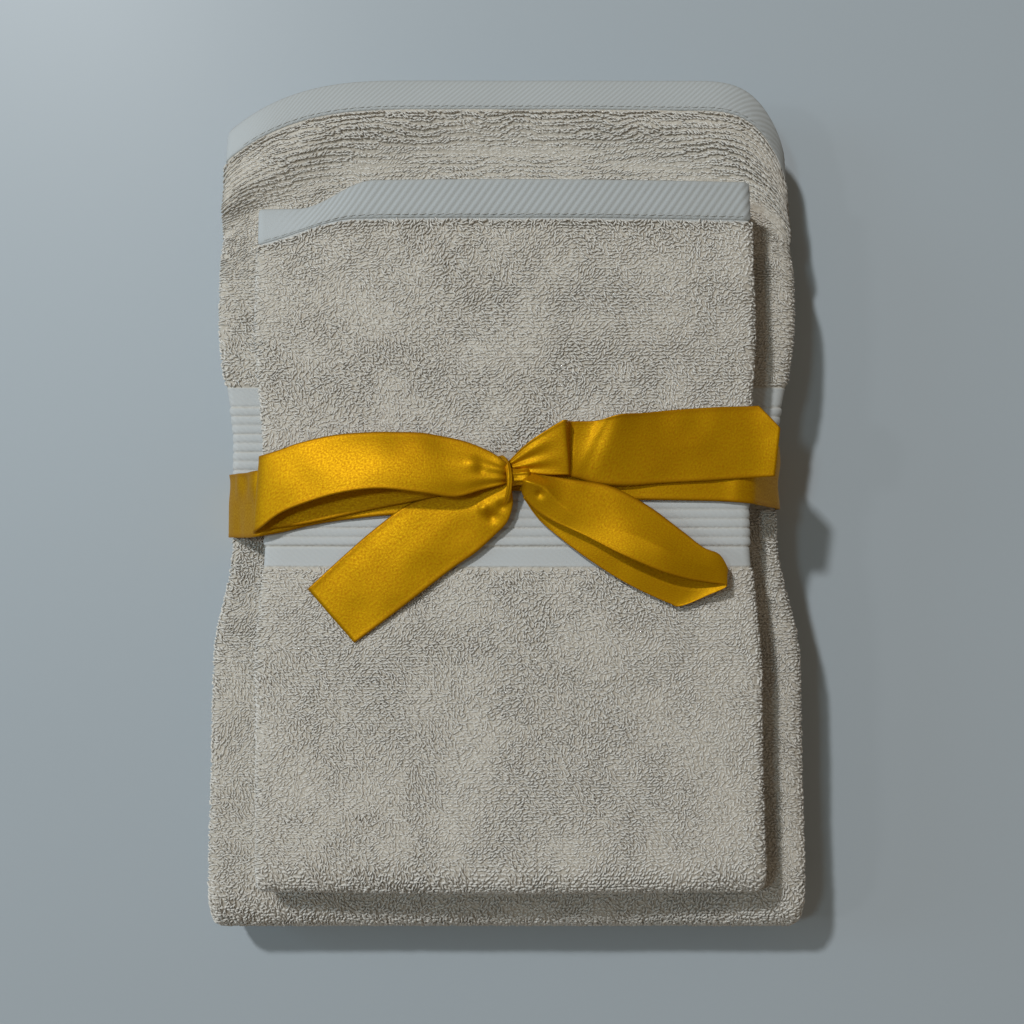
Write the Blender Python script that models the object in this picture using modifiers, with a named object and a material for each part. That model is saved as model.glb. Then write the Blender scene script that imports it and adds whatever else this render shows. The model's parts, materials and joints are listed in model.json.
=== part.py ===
"""Bath towel set: a folded bath towel, a folded hand towel on it, and the satin ribbon that ties them.

Units are metres and +Z is up. The origin is the middle of the bundle's underside, and +Y points at
the hem ends of both towels. Each towel is a folded ply (the cloth already folded in three across its
width), so its solid follows the ply's path seen from the side. Ribbon pieces are thin strips.
"""

import math

import bmesh
import bpy
import numpy as np

MM = 0.001
GAP = 0.35 * MM  # air between two pieces, and between two plies of one towel

# Bath towel: 70 x 140 cm, in three across its width, then twice in half along its length.
BATH_LENGTH = 342 * MM
BATH_WIDTH_AT_FOLD = 239 * MM
BATH_WIDTH_AT_HEM = 227 * MM
BATH_PLY = 10.45 * MM
BATH_WAIST = 219 * MM  # where the ribbon pulls the sides in
UPPER_HEM_BACK = 1 * MM  # each hem's edge, back from the end of the bundle
LOWER_HEM_BACK = 3 * MM

# Hand towel: 50 x 80 cm, in three across its width and in three along its length.
HAND_LENGTH = 272 * MM
HAND_WIDTH_AT_FOLD = 195 * MM
HAND_WIDTH_AT_HEM = 190 * MM
HAND_PLY = 8.65 * MM
HAND_WAIST = 186 * MM
HAND_SHIFT_Y = -12.5 * MM  # middle of the hand towel from the middle of the bath towel
HAND_FOLD_BACK = 1.5 * MM  # its lower fold, back from the upper hem's edge
HAND_CROWN = 0.2  # share of its height that it loses at its sides, where the flaps don't overlap
HEM_DEPTH = 15 * MM
THREAD_WIDTH = 0.6 * MM
THREAD_HEIGHT = 0.45 * MM
THREAD_SHARE = 0.95  # of the towel's width that a row of stitches runs across

# Loose end of the hand towel's upper third, which lifts like a page.
HAND_HINGE_Y = 50 * MM

# Ribbon.
RIBBON_WIDTH = 25 * MM
RIBBON_THICKNESS = 0.4 * MM
BAND_Y_LEFT = 0 * MM  # middle of the band at the left side of the bundle
BAND_Y_RIGHT = 10 * MM  # and at the knot and the right side
CORNER_RADIUS = 3.2 * MM
CHANNEL_DEPTH = 0.9 * MM  # how far the band presses into the underside
CHANNEL_SLOPE = 0.4 * MM  # length over which each side of that channel rises
BAND_CLEARANCE = 1 * MM  # beside the band, in the channel and the waist

KNOT_AT = (3 * MM, 10.6 * MM)
KNOT_SIZE = (12 * MM, 13 * MM, 8 * MM)
KNOT_LIFT = RIBBON_THICKNESS + 2 * GAP  # underside of the knot, above the hand towel
KNOT_ROUNDING = 0.3  # share of its smallest size

# Shape of the waist: flat under the band, then easing out to the full width.
WAIST_EASE = 50 * MM
WAIST_STOPS = np.linspace(0.2, 1, 4)  # shares of that length at which a ply has points

# Parts of the half width at which a folded slab has a section, and its ply's thickness there.
SLAB_SIDE = ((0.3, 1.0), (0.65, 1.0), (0.95, 1.0), (0.975, 0.88), (0.99, 0.68), (1.0, 0.4))
# Distance from a ply's loose end, and the share of its thickness there.
END_TAPER = ((0.0, 0.45), (1.5 * MM, 0.8), (4 * MM, 1.0))
END_STRAIGHT = 8 * MM  # stretch of full ply between a taper and the next point
STOP_SPACE = 6 * MM  # least distance of a point of a straight stretch from its ends
CUT_SPACE = 1 * MM  # least distance of a bow piece's points from its cuts

# How finely curved things are divided.
BATH_FOLD_STEPS = 12
HAND_FOLD_STEPS = 10
TIGHT_FOLD_STEPS = 8
BOW_STEPS = 3
CORNER_STEPS = 5
CROWN_STEPS = 9
THREAD_POINTS = 13
ROUNDING_STEPS = 3
CROWN_FROM = 2.5  # corner radii from the side of the hand towel to where the crown's points start

# Ribbon pieces of the bow, in their own direction across the bundle: (distance along it, distance
# to the left of it, height over the hand towel, share of the ribbon's width).
LOOP_LEFT_FROM = (-3.55 * MM, 10.0 * MM)
LOOP_LEFT_TURN = math.radians(183.1)
LOOP_LEFT_STATIONS = (
    (0, 0, 2.9, 0.36),
    (18, 0, 2.8, 0.75),
    (42, -1, 2.5, 1.0),
    (68, -1, 2.3, 1.0),
    (83, 0, 2.6, 1.0),
    (88, 0, 5.6, 1.0),
    (83, 0, 9.2, 1.0),
    (64, -5, 12.2, 1.0),
    (40, -7, 11.6, 1.0),
    (17, -3, 8.4, 0.8),
    (0, 0, 5.4, 0.36),
)
LOOP_RIGHT_FROM = (11.2 * MM, 5.5 * MM)
LOOP_RIGHT_TURN = math.radians(-26.3)
LOOP_RIGHT_STATIONS = (
    (0, 0, 2.9, 0.32),
    (16, -1.5, 2.4, 0.64),
    (38, -4, 1.6, 0.96),
    (60, -4, 1.5, 1.0),
    (70, -2, 2.0, 1.0),
    (73, -1, 5.0, 1.0),
    (69, 0, 8.2, 1.0),
    (50, 1, 10.4, 1.0),
    (28, -0.5, 9.4, 0.86),
    (14, -1, 7.6, 0.56),
    (0, 0, 5.4, 0.32),
)
TAIL_LEFT_FROM = (-6.1 * MM, 6.5 * MM)
TAIL_LEFT_TURN = math.radians(217)
TAIL_LEFT_STATIONS = (
    (0, 0, 1.5, 0.36),
    (12, 0, 1.35, 0.7),
    (24, 0, 1.35, 1.0),
    (31, 0, 1.35, 1.0),
    (44, 0, 1.1, 1.0),
    (60, 0, 0.7, 1.0),
    (75, 0, 0.7, 1.0),
)
TAIL_LEFT_HINGE = 36 * MM  # distance along the tail
TAIL_RIGHT_FROM = (9.35 * MM, 15.0 * MM)
TAIL_RIGHT_TURN = math.radians(0)
TAIL_RIGHT_STATIONS = (
    (0, 0, 4.8, 0.32),
    (12, 7.5, 5.0, 0.66),
    (22, 6.5, 3.0, 0.9),
    (30, 5.3, 1.7, 1.0),
    (50, 6, 1.35, 1.0),
    (75, 8, 1.35, 1.0),
    (94, 9, 1.35, 1.0),
)
TAIL_RIGHT_HINGE = 29 * MM

# Sizes worked out from the ones above.
SLAB_SECTIONS = (*((-share, ply) for share, ply in SLAB_SIDE[::-1]), (0, 1.0), *SLAB_SIDE)
BATH_PITCH = BATH_PLY + GAP
BATH_TOP = BATH_PLY + 3 * BATH_PITCH
HAND_PITCH = HAND_PLY + GAP
HAND_BASE = BATH_TOP + GAP
HAND_HEIGHT = HAND_PLY + 2 * HAND_PITCH
HAND_TOP = HAND_BASE + HAND_HEIGHT
HAND_Y_FOLD = HAND_SHIFT_Y - HAND_LENGTH / 2
HAND_Y_HEM = HAND_SHIFT_Y + HAND_LENGTH / 2
BAND_Y = (BAND_Y_LEFT + BAND_Y_RIGHT) / 2
BAND_REACH = (RIBBON_WIDTH + BAND_Y_RIGHT - BAND_Y_LEFT) / 2 + BAND_CLEARANCE  # half of its room
BAND_OFFSET = GAP + RIBBON_THICKNESS / 2  # middle of a strip, out from the cloth it lies on

TERRY = ("cream_terry", (0.62, 0.57, 0.49), 0.95)
THREAD = ("cream_thread", (0.72, 0.69, 0.62), 0.8)
SATIN = ("gold_satin", (0.75, 0.42, 0.02), 0.35)


def clear_scene():
    """Removes every object of the scene."""
    for found in list(bpy.data.objects):
        bpy.data.objects.remove(found)


def material(name, colour, roughness):
    """A Principled material, made once for each name."""
    made = bpy.data.materials.get(name)
    if made is None:
        made = bpy.data.materials.new(name)
        made.use_nodes = True
        shader = made.node_tree.nodes["Principled BSDF"]
        shader.inputs["Base Color"].default_value = (*colour, 1)
        shader.inputs["Roughness"].default_value = roughness
        shader.inputs["Metallic"].default_value = 0
    return made


def add_piece(name, shape, finish, collection):
    """Puts a bmesh in an object of its own, with its faces pointing out."""
    bmesh.ops.recalc_face_normals(shape, faces=shape.faces)
    mesh = bpy.data.meshes.new(name)
    shape.to_mesh(mesh)
    shape.free()
    piece = bpy.data.objects.new(name, mesh)
    collection.objects.link(piece)
    mesh.materials.append(material(*finish))
    return piece


def eased(share):
    """0 to 1 with a level start and end."""
    share = np.clip(share, 0, 1)
    return share * share * (3 - 2 * share)


def half_width(y, y_fold, y_hem, at_fold, at_hem, waist):
    """Half of a towel's width at y: straight sides, drawn in to the waist under the band."""
    full = at_fold + (at_hem - at_fold) * np.clip((y - y_fold) / (y_hem - y_fold), 0, 1)
    away = eased((np.abs(y - BAND_Y) - BAND_REACH) / WAIST_EASE)
    return (waist + (full - waist) * away) / 2


def bath_half_width(y):
    """Half of the bath towel's width at y."""
    half = BATH_LENGTH / 2
    return half_width(y, -half, half, BATH_WIDTH_AT_FOLD, BATH_WIDTH_AT_HEM, BATH_WAIST)


def hand_half_width(y):
    """Half of the hand towel's width at y."""
    return half_width(y, HAND_Y_FOLD, HAND_Y_HEM, HAND_WIDTH_AT_FOLD, HAND_WIDTH_AT_HEM, HAND_WAIST)


def flat(share, z):
    """A slab whose sections all have the same height."""
    return z


def crowned(share, z):
    """A slab on the bath towel that is lower at its sides: a parabola of the width's share."""
    return HAND_BASE + (z - HAND_BASE) * (1 - HAND_CROWN * share * share)


def hand_surface(x):
    """Height of the hand towel's upper side at x, level beyond its sides."""
    share = np.clip(x / (HAND_WAIST / 2), -1, 1)
    return crowned(share, HAND_TOP)


def run(y_from, y_to, z):
    """Points of a straight stretch of ply, with stops where the waist and the channel change."""
    edge = BAND_REACH + CHANNEL_SLOPE
    steps = np.concatenate(([BAND_REACH, edge], edge + WAIST_STOPS * WAIST_EASE))
    stops = BAND_Y + np.concatenate((-steps, steps))
    low, high = min(y_from, y_to), max(y_from, y_to)
    inside = stops[(stops > low + STOP_SPACE) & (stops < high - STOP_SPACE)]
    line = np.unique(np.concatenate(([low, high], inside)))
    if y_from > y_to:
        line = line[::-1]
    return np.column_stack((line, np.full(len(line), z)))


def end_stops(y_end, way, z):
    """Points of a loose end that tapers: way is +1 if the ply comes to it from -Y."""
    return [(y_end - way * distance, z) for distance, _ in END_TAPER]


def turn(y, z_from, z_to, way, steps):
    """Points of a half-round fold about (y, middle height): way is +1 if it bulges to +Y."""
    angles = np.linspace(0, math.pi, steps + 1)[1:-1]
    radius = (z_from - z_to) / 2
    middle = (z_from + z_to) / 2
    bulge = way * abs(radius) * np.sin(angles)
    return np.column_stack((y + bulge, middle + radius * np.cos(angles)))


def folded_slab(name, path, ply, half_width_at, height, ends, collection):
    """A ply that follows path, points of (y, z), lofted across the towel's width.

    half_width_at gives the half width at y, and height gives z at a share of it. ends says whether
    the path's start and end are loose ends, which taper. Each section is the ply's outline, its
    left side out and its right side back, and the two outermost are closed with quads between them.
    """
    path = np.array(path)
    along = np.gradient(path, axis=0)
    along /= np.linalg.norm(along, axis=1, keepdims=True)
    normal = np.column_stack((-along[:, 1], along[:, 0]))
    half = np.full(len(path), ply / 2)
    for place, (_, share) in enumerate(END_TAPER):
        if ends[0]:
            half[place] *= share
        if ends[1]:
            half[-1 - place] *= share

    shape = bmesh.new()
    rings = []
    for share, thickness in SLAB_SECTIONS:
        offset = normal * (half * thickness)[:, None]
        outline = np.vstack((path + offset, (path - offset)[::-1]))
        y, z = outline[:, 0], outline[:, 1]
        pressed = (np.abs(y - BAND_Y) < BAND_REACH + CHANNEL_SLOPE / 2) & (z < CHANNEL_DEPTH)
        z = np.where(pressed, CHANNEL_DEPTH, z)
        x = share * half_width_at(y)
        ring = [shape.verts.new(point) for point in np.column_stack((x, y, height(share, z)))]
        rings.append(ring)
    for one, other in zip(rings[:-1], rings[1:]):
        for place in range(len(one)):
            after = (place + 1) % len(one)
            shape.faces.new((one[place], one[after], other[after], other[place]))
    for ring in (rings[0], rings[-1]):
        for place in range(len(path) - 1):
            opposite = len(ring) - 1 - place
            shape.faces.new((ring[place], ring[place + 1], ring[opposite - 1], ring[opposite]))
    return add_piece(name, shape, TERRY, collection)


def bath_path():
    """From the upper hem end round the outer fold, under the bundle, and back inside it."""
    heights = [BATH_PLY / 2 + place * BATH_PITCH for place in range(4)]
    half = BATH_LENGTH / 2
    outer_y = -half + 1.5 * BATH_PITCH + BATH_PLY / 2
    inner_y = half - BATH_PITCH / 2 - BATH_PLY / 2
    taper = END_TAPER[-1][0]
    upper_hem, lower_hem = half - UPPER_HEM_BACK, half - LOWER_HEM_BACK
    return np.vstack(
        (
            end_stops(upper_hem, 1, heights[3]),
            run(upper_hem - taper - END_STRAIGHT, outer_y, heights[3]),
            turn(outer_y, heights[3], heights[0], -1, BATH_FOLD_STEPS),
            run(outer_y, inner_y, heights[0]),
            turn(inner_y, heights[0], heights[1], 1, TIGHT_FOLD_STEPS),
            run(inner_y, outer_y, heights[1]),
            turn(outer_y, heights[1], heights[2], -1, TIGHT_FOLD_STEPS),
            run(outer_y, lower_hem - taper - END_STRAIGHT, heights[2]),
            end_stops(lower_hem, 1, heights[2])[::-1],
        )
    )


def hand_path():
    """From the hinge of the loose end round the outer fold, back below, and in to the middle."""
    low, middle, high = (HAND_BASE + HAND_PLY / 2 + place * HAND_PITCH for place in range(3))
    outer_y = HAND_Y_FOLD + HAND_PITCH + HAND_PLY / 2
    inner_y = HAND_Y_HEM - HAND_FOLD_BACK - HAND_PITCH / 2 - HAND_PLY / 2
    taper = END_TAPER[-1][0]
    return np.vstack(
        (
            run(HAND_HINGE_Y - GAP, outer_y, high),
            turn(outer_y, high, low, -1, HAND_FOLD_STEPS),
            run(outer_y, inner_y, low),
            turn(inner_y, low, middle, 1, TIGHT_FOLD_STEPS),
            run(inner_y, outer_y + taper + END_STRAIGHT, middle),
            end_stops(outer_y, -1, middle)[::-1],
        )
    )


def hand_end_path():
    """The loose end of the upper third, from its hinge to its hem."""
    high = HAND_BASE + HAND_PLY / 2 + 2 * HAND_PITCH
    taper = END_TAPER[-1][0]
    return np.vstack(
        (
            run(HAND_HINGE_Y, HAND_Y_HEM - taper - END_STRAIGHT, high),
            end_stops(HAND_Y_HEM, 1, high)[::-1],
        )
    )


def strip(name, points, across, thickness, finish, collection, closed=False):
    """A thin strip: points are its middle line and across its half width vectors, both n x 3."""
    shape = bmesh.new()
    left = [shape.verts.new(point) for point in points - across]
    right = [shape.verts.new(point) for point in points + across]
    count = len(left)
    for place in range(count if closed else count - 1):
        after = (place + 1) % count
        shape.faces.new((left[place], left[after], right[after], right[place]))
    piece = add_piece(name, shape, finish, collection)
    wall = piece.modifiers.new("thickness", "SOLIDIFY")
    wall.thickness = thickness
    wall.offset = 0
    return piece


def smooth_line(stations, steps):
    """A Catmull-Rom curve through the stations, with this many steps between two of them."""
    stations = np.array(stations, float)
    padded = np.vstack((2 * stations[0] - stations[1], stations, 2 * stations[-1] - stations[-2]))
    share = np.linspace(0, 1, steps, endpoint=False)[:, None]
    pieces = []
    for before, start, end, after in zip(padded, padded[1:], padded[2:], padded[3:]):
        slope_in, slope_out = (end - before) / 2, (after - start) / 2
        pieces.append(
            (2 * share**3 - 3 * share**2 + 1) * start
            + (share**3 - 2 * share**2 + share) * slope_in
            + (3 * share**2 - 2 * share**3) * end
            + (share**3 - share**2) * slope_out
        )
    return np.vstack((*pieces, stations[-1:]))


def bow_line(origin, angle, stations):
    """Middle line and half width vectors of a bow piece, from its stations."""
    line = smooth_line(stations, BOW_STEPS)
    ahead = np.array((math.cos(angle), math.sin(angle), 0))
    left = np.array((-ahead[1], ahead[0], 0))
    points = np.array((*origin, 0)) + MM * (line[:, :1] * ahead + line[:, 1:2] * left)
    across = line[:, 3:] * RIBBON_WIDTH / 2 * left
    edges = [hand_surface(points[:, 0] + side * across[:, 0]) for side in (-1, 1)]
    points[:, 2] = (edges[0] + edges[1]) / 2 + MM * line[:, 2]
    across[:, 2] = (edges[1] - edges[0]) / 2
    return points, across, line[:, 0] * MM


def cut_line(points, across, along, low, high):
    """The stretch of a bow piece between two distances along it, with points at both."""
    inside = (along > low + CUT_SPACE) & (along < high - CUT_SPACE)
    places = np.concatenate(([low], along[inside], [high]))
    cut = [np.interp(places, along, values) for values in (*points.T, *across.T)]
    cut = np.array(cut).T
    return cut[:, :3], cut[:, 3:]


def add_tail(name, origin, angle, stations, hinge, collection):
    """A tail in two pieces, its tied base and the free end past its hinge."""
    points, across, along = bow_line(origin, angle, stations)
    parts = ((name + "_base", 0, hinge - GAP / 2), (name, hinge + GAP / 2, along[-1]))
    for part, low, high in parts:
        cut, wide = cut_line(points, across, along, low, high)
        strip(part, cut, wide, RIBBON_THICKNESS, SATIN, collection)


def add_loop(name, origin, angle, stations, collection):
    """A loop of the bow, out from the knot and back to it above."""
    points, across, _ = bow_line(origin, angle, stations)
    strip(name, points, across, RIBBON_THICKNESS, SATIN, collection)


def rounded_corner(before, corner, after, radius, steps):
    """Points of the arc that rounds a corner of the band's path in x and z."""
    before, corner, after = (np.array(point, float) for point in (before, corner, after))
    back = (before - corner) / np.linalg.norm(before - corner)
    on = (after - corner) / np.linalg.norm(after - corner)
    half = math.acos(float(np.clip(back @ on, -1, 1))) / 2
    centre = corner + (back + on) / np.linalg.norm(back + on) * radius / math.sin(half)
    start = corner + back * radius / math.tan(half) - centre
    end = corner + on * radius / math.tan(half) - centre
    sweep = math.pi - 2 * half
    shares = np.linspace(0, 1, steps + 1)[:, None]
    weights = np.sin((1 - shares) * sweep), np.sin(shares * sweep)
    return centre + (weights[0] * start + weights[1] * end) / math.sin(sweep)


def add_band(collection):
    """The ribbon right round the bundle, taut from the hand towel's sides to the bath towel's."""
    out = BATH_WAIST / 2 + BAND_OFFSET
    top_side = HAND_WAIST / 2 + BAND_OFFSET
    floor = CHANNEL_DEPTH - BAND_OFFSET
    ceiling = float(hand_surface(top_side)) + BAND_OFFSET
    crown_start = top_side - CROWN_FROM * CORNER_RADIUS
    crown = np.linspace(crown_start, 0, CROWN_STEPS, endpoint=False)
    crown_line = [(x, float(hand_surface(x)) + BAND_OFFSET) for x in crown]
    corners = [(0, floor), (out, floor), (out, BATH_TOP), (top_side, ceiling), crown_line[0]]
    right = [np.array([(out / 2, floor)])]
    for before, corner, after in zip(corners, corners[1:], corners[2:]):
        right.append(rounded_corner(before, corner, after, CORNER_RADIUS, CORNER_STEPS))
    right.append(np.array(crown_line))
    right = np.vstack(right)
    left = right[::-1] * (-1, 1)
    ring = np.vstack((right, [(0, HAND_TOP + BAND_OFFSET)], left, [(0, floor)]))
    knot_x = KNOT_AT[0]
    y_over = np.interp(ring[:, 0], (-out, knot_x), (BAND_Y_LEFT, BAND_Y_RIGHT))
    y_under = np.interp(ring[:, 0], (-out, out), (BAND_Y_LEFT, BAND_Y_RIGHT))
    y = np.where(ring[:, 1] > BATH_TOP / 2, y_over, y_under)
    points = np.column_stack((ring[:, 0], y, ring[:, 1]))
    across = np.tile((0, RIBBON_WIDTH / 2, 0), (len(points), 1))
    strip("ribbon_band", points, across, RIBBON_THICKNESS, SATIN, collection, closed=True)


def add_knot(collection):
    """The knot: a rounded block between the roots of the loops and the tails."""
    shape = bmesh.new()
    bmesh.ops.create_cube(shape, size=1)
    bmesh.ops.scale(shape, vec=KNOT_SIZE, verts=shape.verts)
    piece = add_piece("ribbon_knot", shape, SATIN, collection)
    lift = float(hand_surface(KNOT_AT[0])) + KNOT_LIFT + KNOT_SIZE[2] / 2
    piece.location = (*KNOT_AT, lift)
    rounding = piece.modifiers.new("rounding", "BEVEL")
    rounding.width = KNOT_ROUNDING * min(KNOT_SIZE)
    rounding.segments = ROUNDING_STEPS


def add_hem_thread(name, y, half_width_at, height, top, collection):
    """One row of hem stitching: a thin thread across a towel's upper side."""
    half = float(half_width_at(y))
    share = np.linspace(-THREAD_SHARE, THREAD_SHARE, THREAD_POINTS)
    x = share * half
    z = height(share, top) + GAP + THREAD_HEIGHT / 2
    points = np.column_stack((x, np.full(len(x), y), np.broadcast_to(z, len(x))))
    across = np.tile((0, THREAD_WIDTH / 2, 0), (len(x), 1))
    strip(name, points, across, THREAD_HEIGHT, THREAD, collection)


def build():
    """Builds the whole set."""
    clear_scene()
    parts = bpy.data.collections.new("bath_towel_set")
    bpy.context.scene.collection.children.link(parts)

    bath = (BATH_PLY, bath_half_width, flat)
    hand = (HAND_PLY, hand_half_width, crowned)
    folded_slab("bath_towel", bath_path(), *bath, (True, True), parts)
    folded_slab("hand_towel", hand_path(), *hand, (False, True), parts)
    folded_slab("hand_towel_end", hand_end_path(), *hand, (False, True), parts)

    bath_hem_y, hand_hem_y = BATH_LENGTH / 2 - HEM_DEPTH, HAND_Y_HEM - HEM_DEPTH
    add_hem_thread("bath_hem_thread", bath_hem_y, bath_half_width, flat, BATH_TOP, parts)
    add_hem_thread("hand_hem_thread", hand_hem_y, hand_half_width, crowned, HAND_TOP, parts)

    add_band(parts)
    add_knot(parts)
    add_loop("ribbon_loop_left", LOOP_LEFT_FROM, LOOP_LEFT_TURN, LOOP_LEFT_STATIONS, parts)
    add_loop("ribbon_loop_right", LOOP_RIGHT_FROM, LOOP_RIGHT_TURN, LOOP_RIGHT_STATIONS, parts)
    left_tail = (TAIL_LEFT_FROM, TAIL_LEFT_TURN, TAIL_LEFT_STATIONS, TAIL_LEFT_HINGE)
    right_tail = (TAIL_RIGHT_FROM, TAIL_RIGHT_TURN, TAIL_RIGHT_STATIONS, TAIL_RIGHT_HINGE)
    add_tail("ribbon_tail_left", *left_tail, parts)
    add_tail("ribbon_tail_right", *right_tail, parts)


build()
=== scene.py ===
"""Bath towel set: a folded bath towel, a folded hand towel on it, and the satin ribbon round both.

Lengths are in metres, +Z is up and +Y points at the hem ends of the towels. Each towel is laid out
flat first, with its hems, stitches, woven border and terry loops, and one formula then folds all of
it, so that every detail follows the cloth round its folds.
"""

import sys

import json
import logging
import math
from collections.abc import Callable
from dataclasses import dataclass, field
from enum import Enum

import bpy
import numpy as np
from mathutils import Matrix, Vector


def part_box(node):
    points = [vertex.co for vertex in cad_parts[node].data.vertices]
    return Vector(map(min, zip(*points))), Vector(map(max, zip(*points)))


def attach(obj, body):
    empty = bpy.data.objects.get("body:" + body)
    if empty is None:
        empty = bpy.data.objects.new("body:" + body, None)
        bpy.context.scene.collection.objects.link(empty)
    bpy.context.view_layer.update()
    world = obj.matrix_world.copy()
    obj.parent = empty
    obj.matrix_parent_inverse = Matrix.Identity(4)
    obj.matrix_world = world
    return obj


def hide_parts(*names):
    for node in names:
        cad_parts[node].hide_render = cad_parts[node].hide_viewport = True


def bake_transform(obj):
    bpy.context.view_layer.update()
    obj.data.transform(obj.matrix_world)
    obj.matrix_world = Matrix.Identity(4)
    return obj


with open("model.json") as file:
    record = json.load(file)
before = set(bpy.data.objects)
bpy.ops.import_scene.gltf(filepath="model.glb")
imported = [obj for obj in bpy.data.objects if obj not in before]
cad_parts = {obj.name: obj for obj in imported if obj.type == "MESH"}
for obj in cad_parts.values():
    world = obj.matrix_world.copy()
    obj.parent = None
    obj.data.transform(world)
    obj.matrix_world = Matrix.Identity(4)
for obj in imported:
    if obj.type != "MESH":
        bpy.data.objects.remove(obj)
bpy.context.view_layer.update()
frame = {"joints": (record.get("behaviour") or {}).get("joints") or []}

LOG = logging.getLogger("towel_set")
MM = 0.001
GAP = 0.35 * MM  # air between two plies and between two pieces
INSET = 0.6 * MM  # how far the woven ground lies under the tips of the terry
MAP_NAME = "OFBake"  # the name of each piece's own map
CLOTH_MAP = "cloth"  # the name of the ribbon's map in metres
LOOP_RINGS = 4  # points along a terry loop
LOOP_SIDES = 3  # corners of its section
TOP_SPACING = 1.25 * MM  # between loops on the upper sides
SIDE_SPACING = 1.35 * MM  # between loops on the side folds

Array = np.ndarray
Triple = tuple[float, float, float]


class Slot(Enum):
    """Material slots of the record."""

    BATH = "bath_terry"
    HAND = "hand_terry"
    THREAD = "hem_thread"
    RIBBON = "satin_ribbon"


class Body(Enum):
    """Moving bodies of the set."""

    BUNDLE = "bundle"
    TOWEL_END = "towel_end"
    LOOP_LEFT = "loop_left"
    LOOP_RIGHT = "loop_right"
    TAIL_LEFT = "tail_left"
    TAIL_RIGHT = "tail_right"


# ---------------------------------------------------------------------------------- small formulas


def eased(share: Array) -> Array:
    """0 to 1 with a level start and end: 3 t squared minus 2 t cubed."""
    share = np.clip(share, 0, 1)
    return share * share * (3 - 2 * share)


def bump(value: Array, middle: float, width: float) -> Array:
    """A bell of height 1: e to the minus square of the distance in widths."""
    return np.exp(-(((value - middle) / width) ** 2))


def columns_of(points: Array) -> Array:
    """The points' x, y and z apart."""
    return np.moveaxis(points, -1, 0)


def smooth_noise(x: Array, y: Array, cell: float, seed: int) -> Array:
    """Value noise: random numbers on a square lattice, eased between its points.

    Args:
        x: First coordinate.
        y: Second coordinate, of the same shape.
        cell: Size of a lattice square.
        seed: Seed of the lattice.

    Returns:
        Values from -1 to 1.
    """
    side = 64
    lattice = np.random.default_rng(seed).uniform(-1, 1, (side, side))
    column, row = np.asarray(x) / cell, np.asarray(y) / cell
    left, low = np.floor(column).astype(int), np.floor(row).astype(int)
    across, up = eased(column - left), eased(row - low)
    left, right, low, high = left % side, (left + 1) % side, low % side, (low + 1) % side
    under = lattice[left, low] * (1 - across) + lattice[right, low] * across
    over = lattice[left, high] * (1 - across) + lattice[right, high] * across
    return under * (1 - up) + over * up


def stops(start: float, end: float, coarse: float, fine: tuple[Triple, ...] = ()) -> Array:
    """Grid lines from start to end, closer together in some zones.

    Args:
        start: First line.
        end: Last line.
        coarse: Usual step.
        fine: Zones as (from, to, step).

    Returns:
        The lines in order.
    """
    marks = {start, end}
    for low, high, _ in fine:
        marks |= {min(max(low, start), end), min(max(high, start), end)}
    marks = sorted(marks)
    parts = []
    for low, high in zip(marks, marks[1:]):
        middle = (low + high) / 2
        step = min([coarse] + [zone[2] for zone in fine if zone[0] <= middle <= zone[1]])
        parts.append(np.linspace(low, high, max(1, round((high - low) / step)), endpoint=False))
    return np.concatenate((*parts, [end]))


def spline(stations: Array, steps: int) -> Array:
    """A Catmull-Rom curve through stations of any width: the cubic that meets each with its slope.

    Args:
        stations: Points, one a row.
        steps: Steps between two stations.

    Returns:
        Points of the curve.
    """
    ends = 2 * stations[0] - stations[1], 2 * stations[-1] - stations[-2]
    padded = np.concatenate(([ends[0]], stations, [ends[1]]))
    before, start, end, after = padded[:-3], padded[1:-2], padded[2:-1], padded[3:]
    slope_in, slope_out = (end - before) / 2, (after - start) / 2
    t = np.linspace(0, 1, steps, endpoint=False).reshape((1, -1) + (1,) * (stations.ndim - 1))
    start, end, slope_in, slope_out = (part[:, None] for part in (start, end, slope_in, slope_out))
    curve = (
        (2 * t**3 - 3 * t**2 + 1) * start
        + (t**3 - 2 * t**2 + t) * slope_in
        + (3 * t**2 - 2 * t**3) * end
        + (t**3 - t**2) * slope_out
    )
    return np.concatenate((curve.reshape((-1,) + stations.shape[1:]), stations[-1:]))


# ------------------------------------------------------------------------------------------ meshes


@dataclass
class Solid:
    """A closed mesh as arrays.

    Attributes:
        points: Vertices, n x 3.
        faces: Faces, one array for each count of corners.
        corner_map: Map coordinates of every face corner, in the faces' order.
        tone: A number for each vertex that the finishes read.
    """

    points: Array
    faces: list[Array]
    corner_map: Array
    tone: Array

    def turned_out(self) -> "Solid":
        """The same mesh with its faces pointing out, by the sign of the volume they enclose."""
        volume = 0.0
        for group in self.faces:
            first = self.points[group[:, 0]]
            for place in range(1, group.shape[1] - 1):
                pair = self.points[group[:, place]], self.points[group[:, place + 1]]
                volume += float((first * np.cross(*pair)).sum())
        if volume >= 0:
            return self
        start, maps = 0, []
        for group in self.faces:
            block = self.corner_map[start : start + group.size].reshape(*group.shape, 2)
            maps.append(block[:, ::-1].reshape(-1, 2))
            start += group.size
        turned = [group[:, ::-1] for group in self.faces]
        return Solid(self.points, turned, np.concatenate(maps), self.tone)


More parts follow.
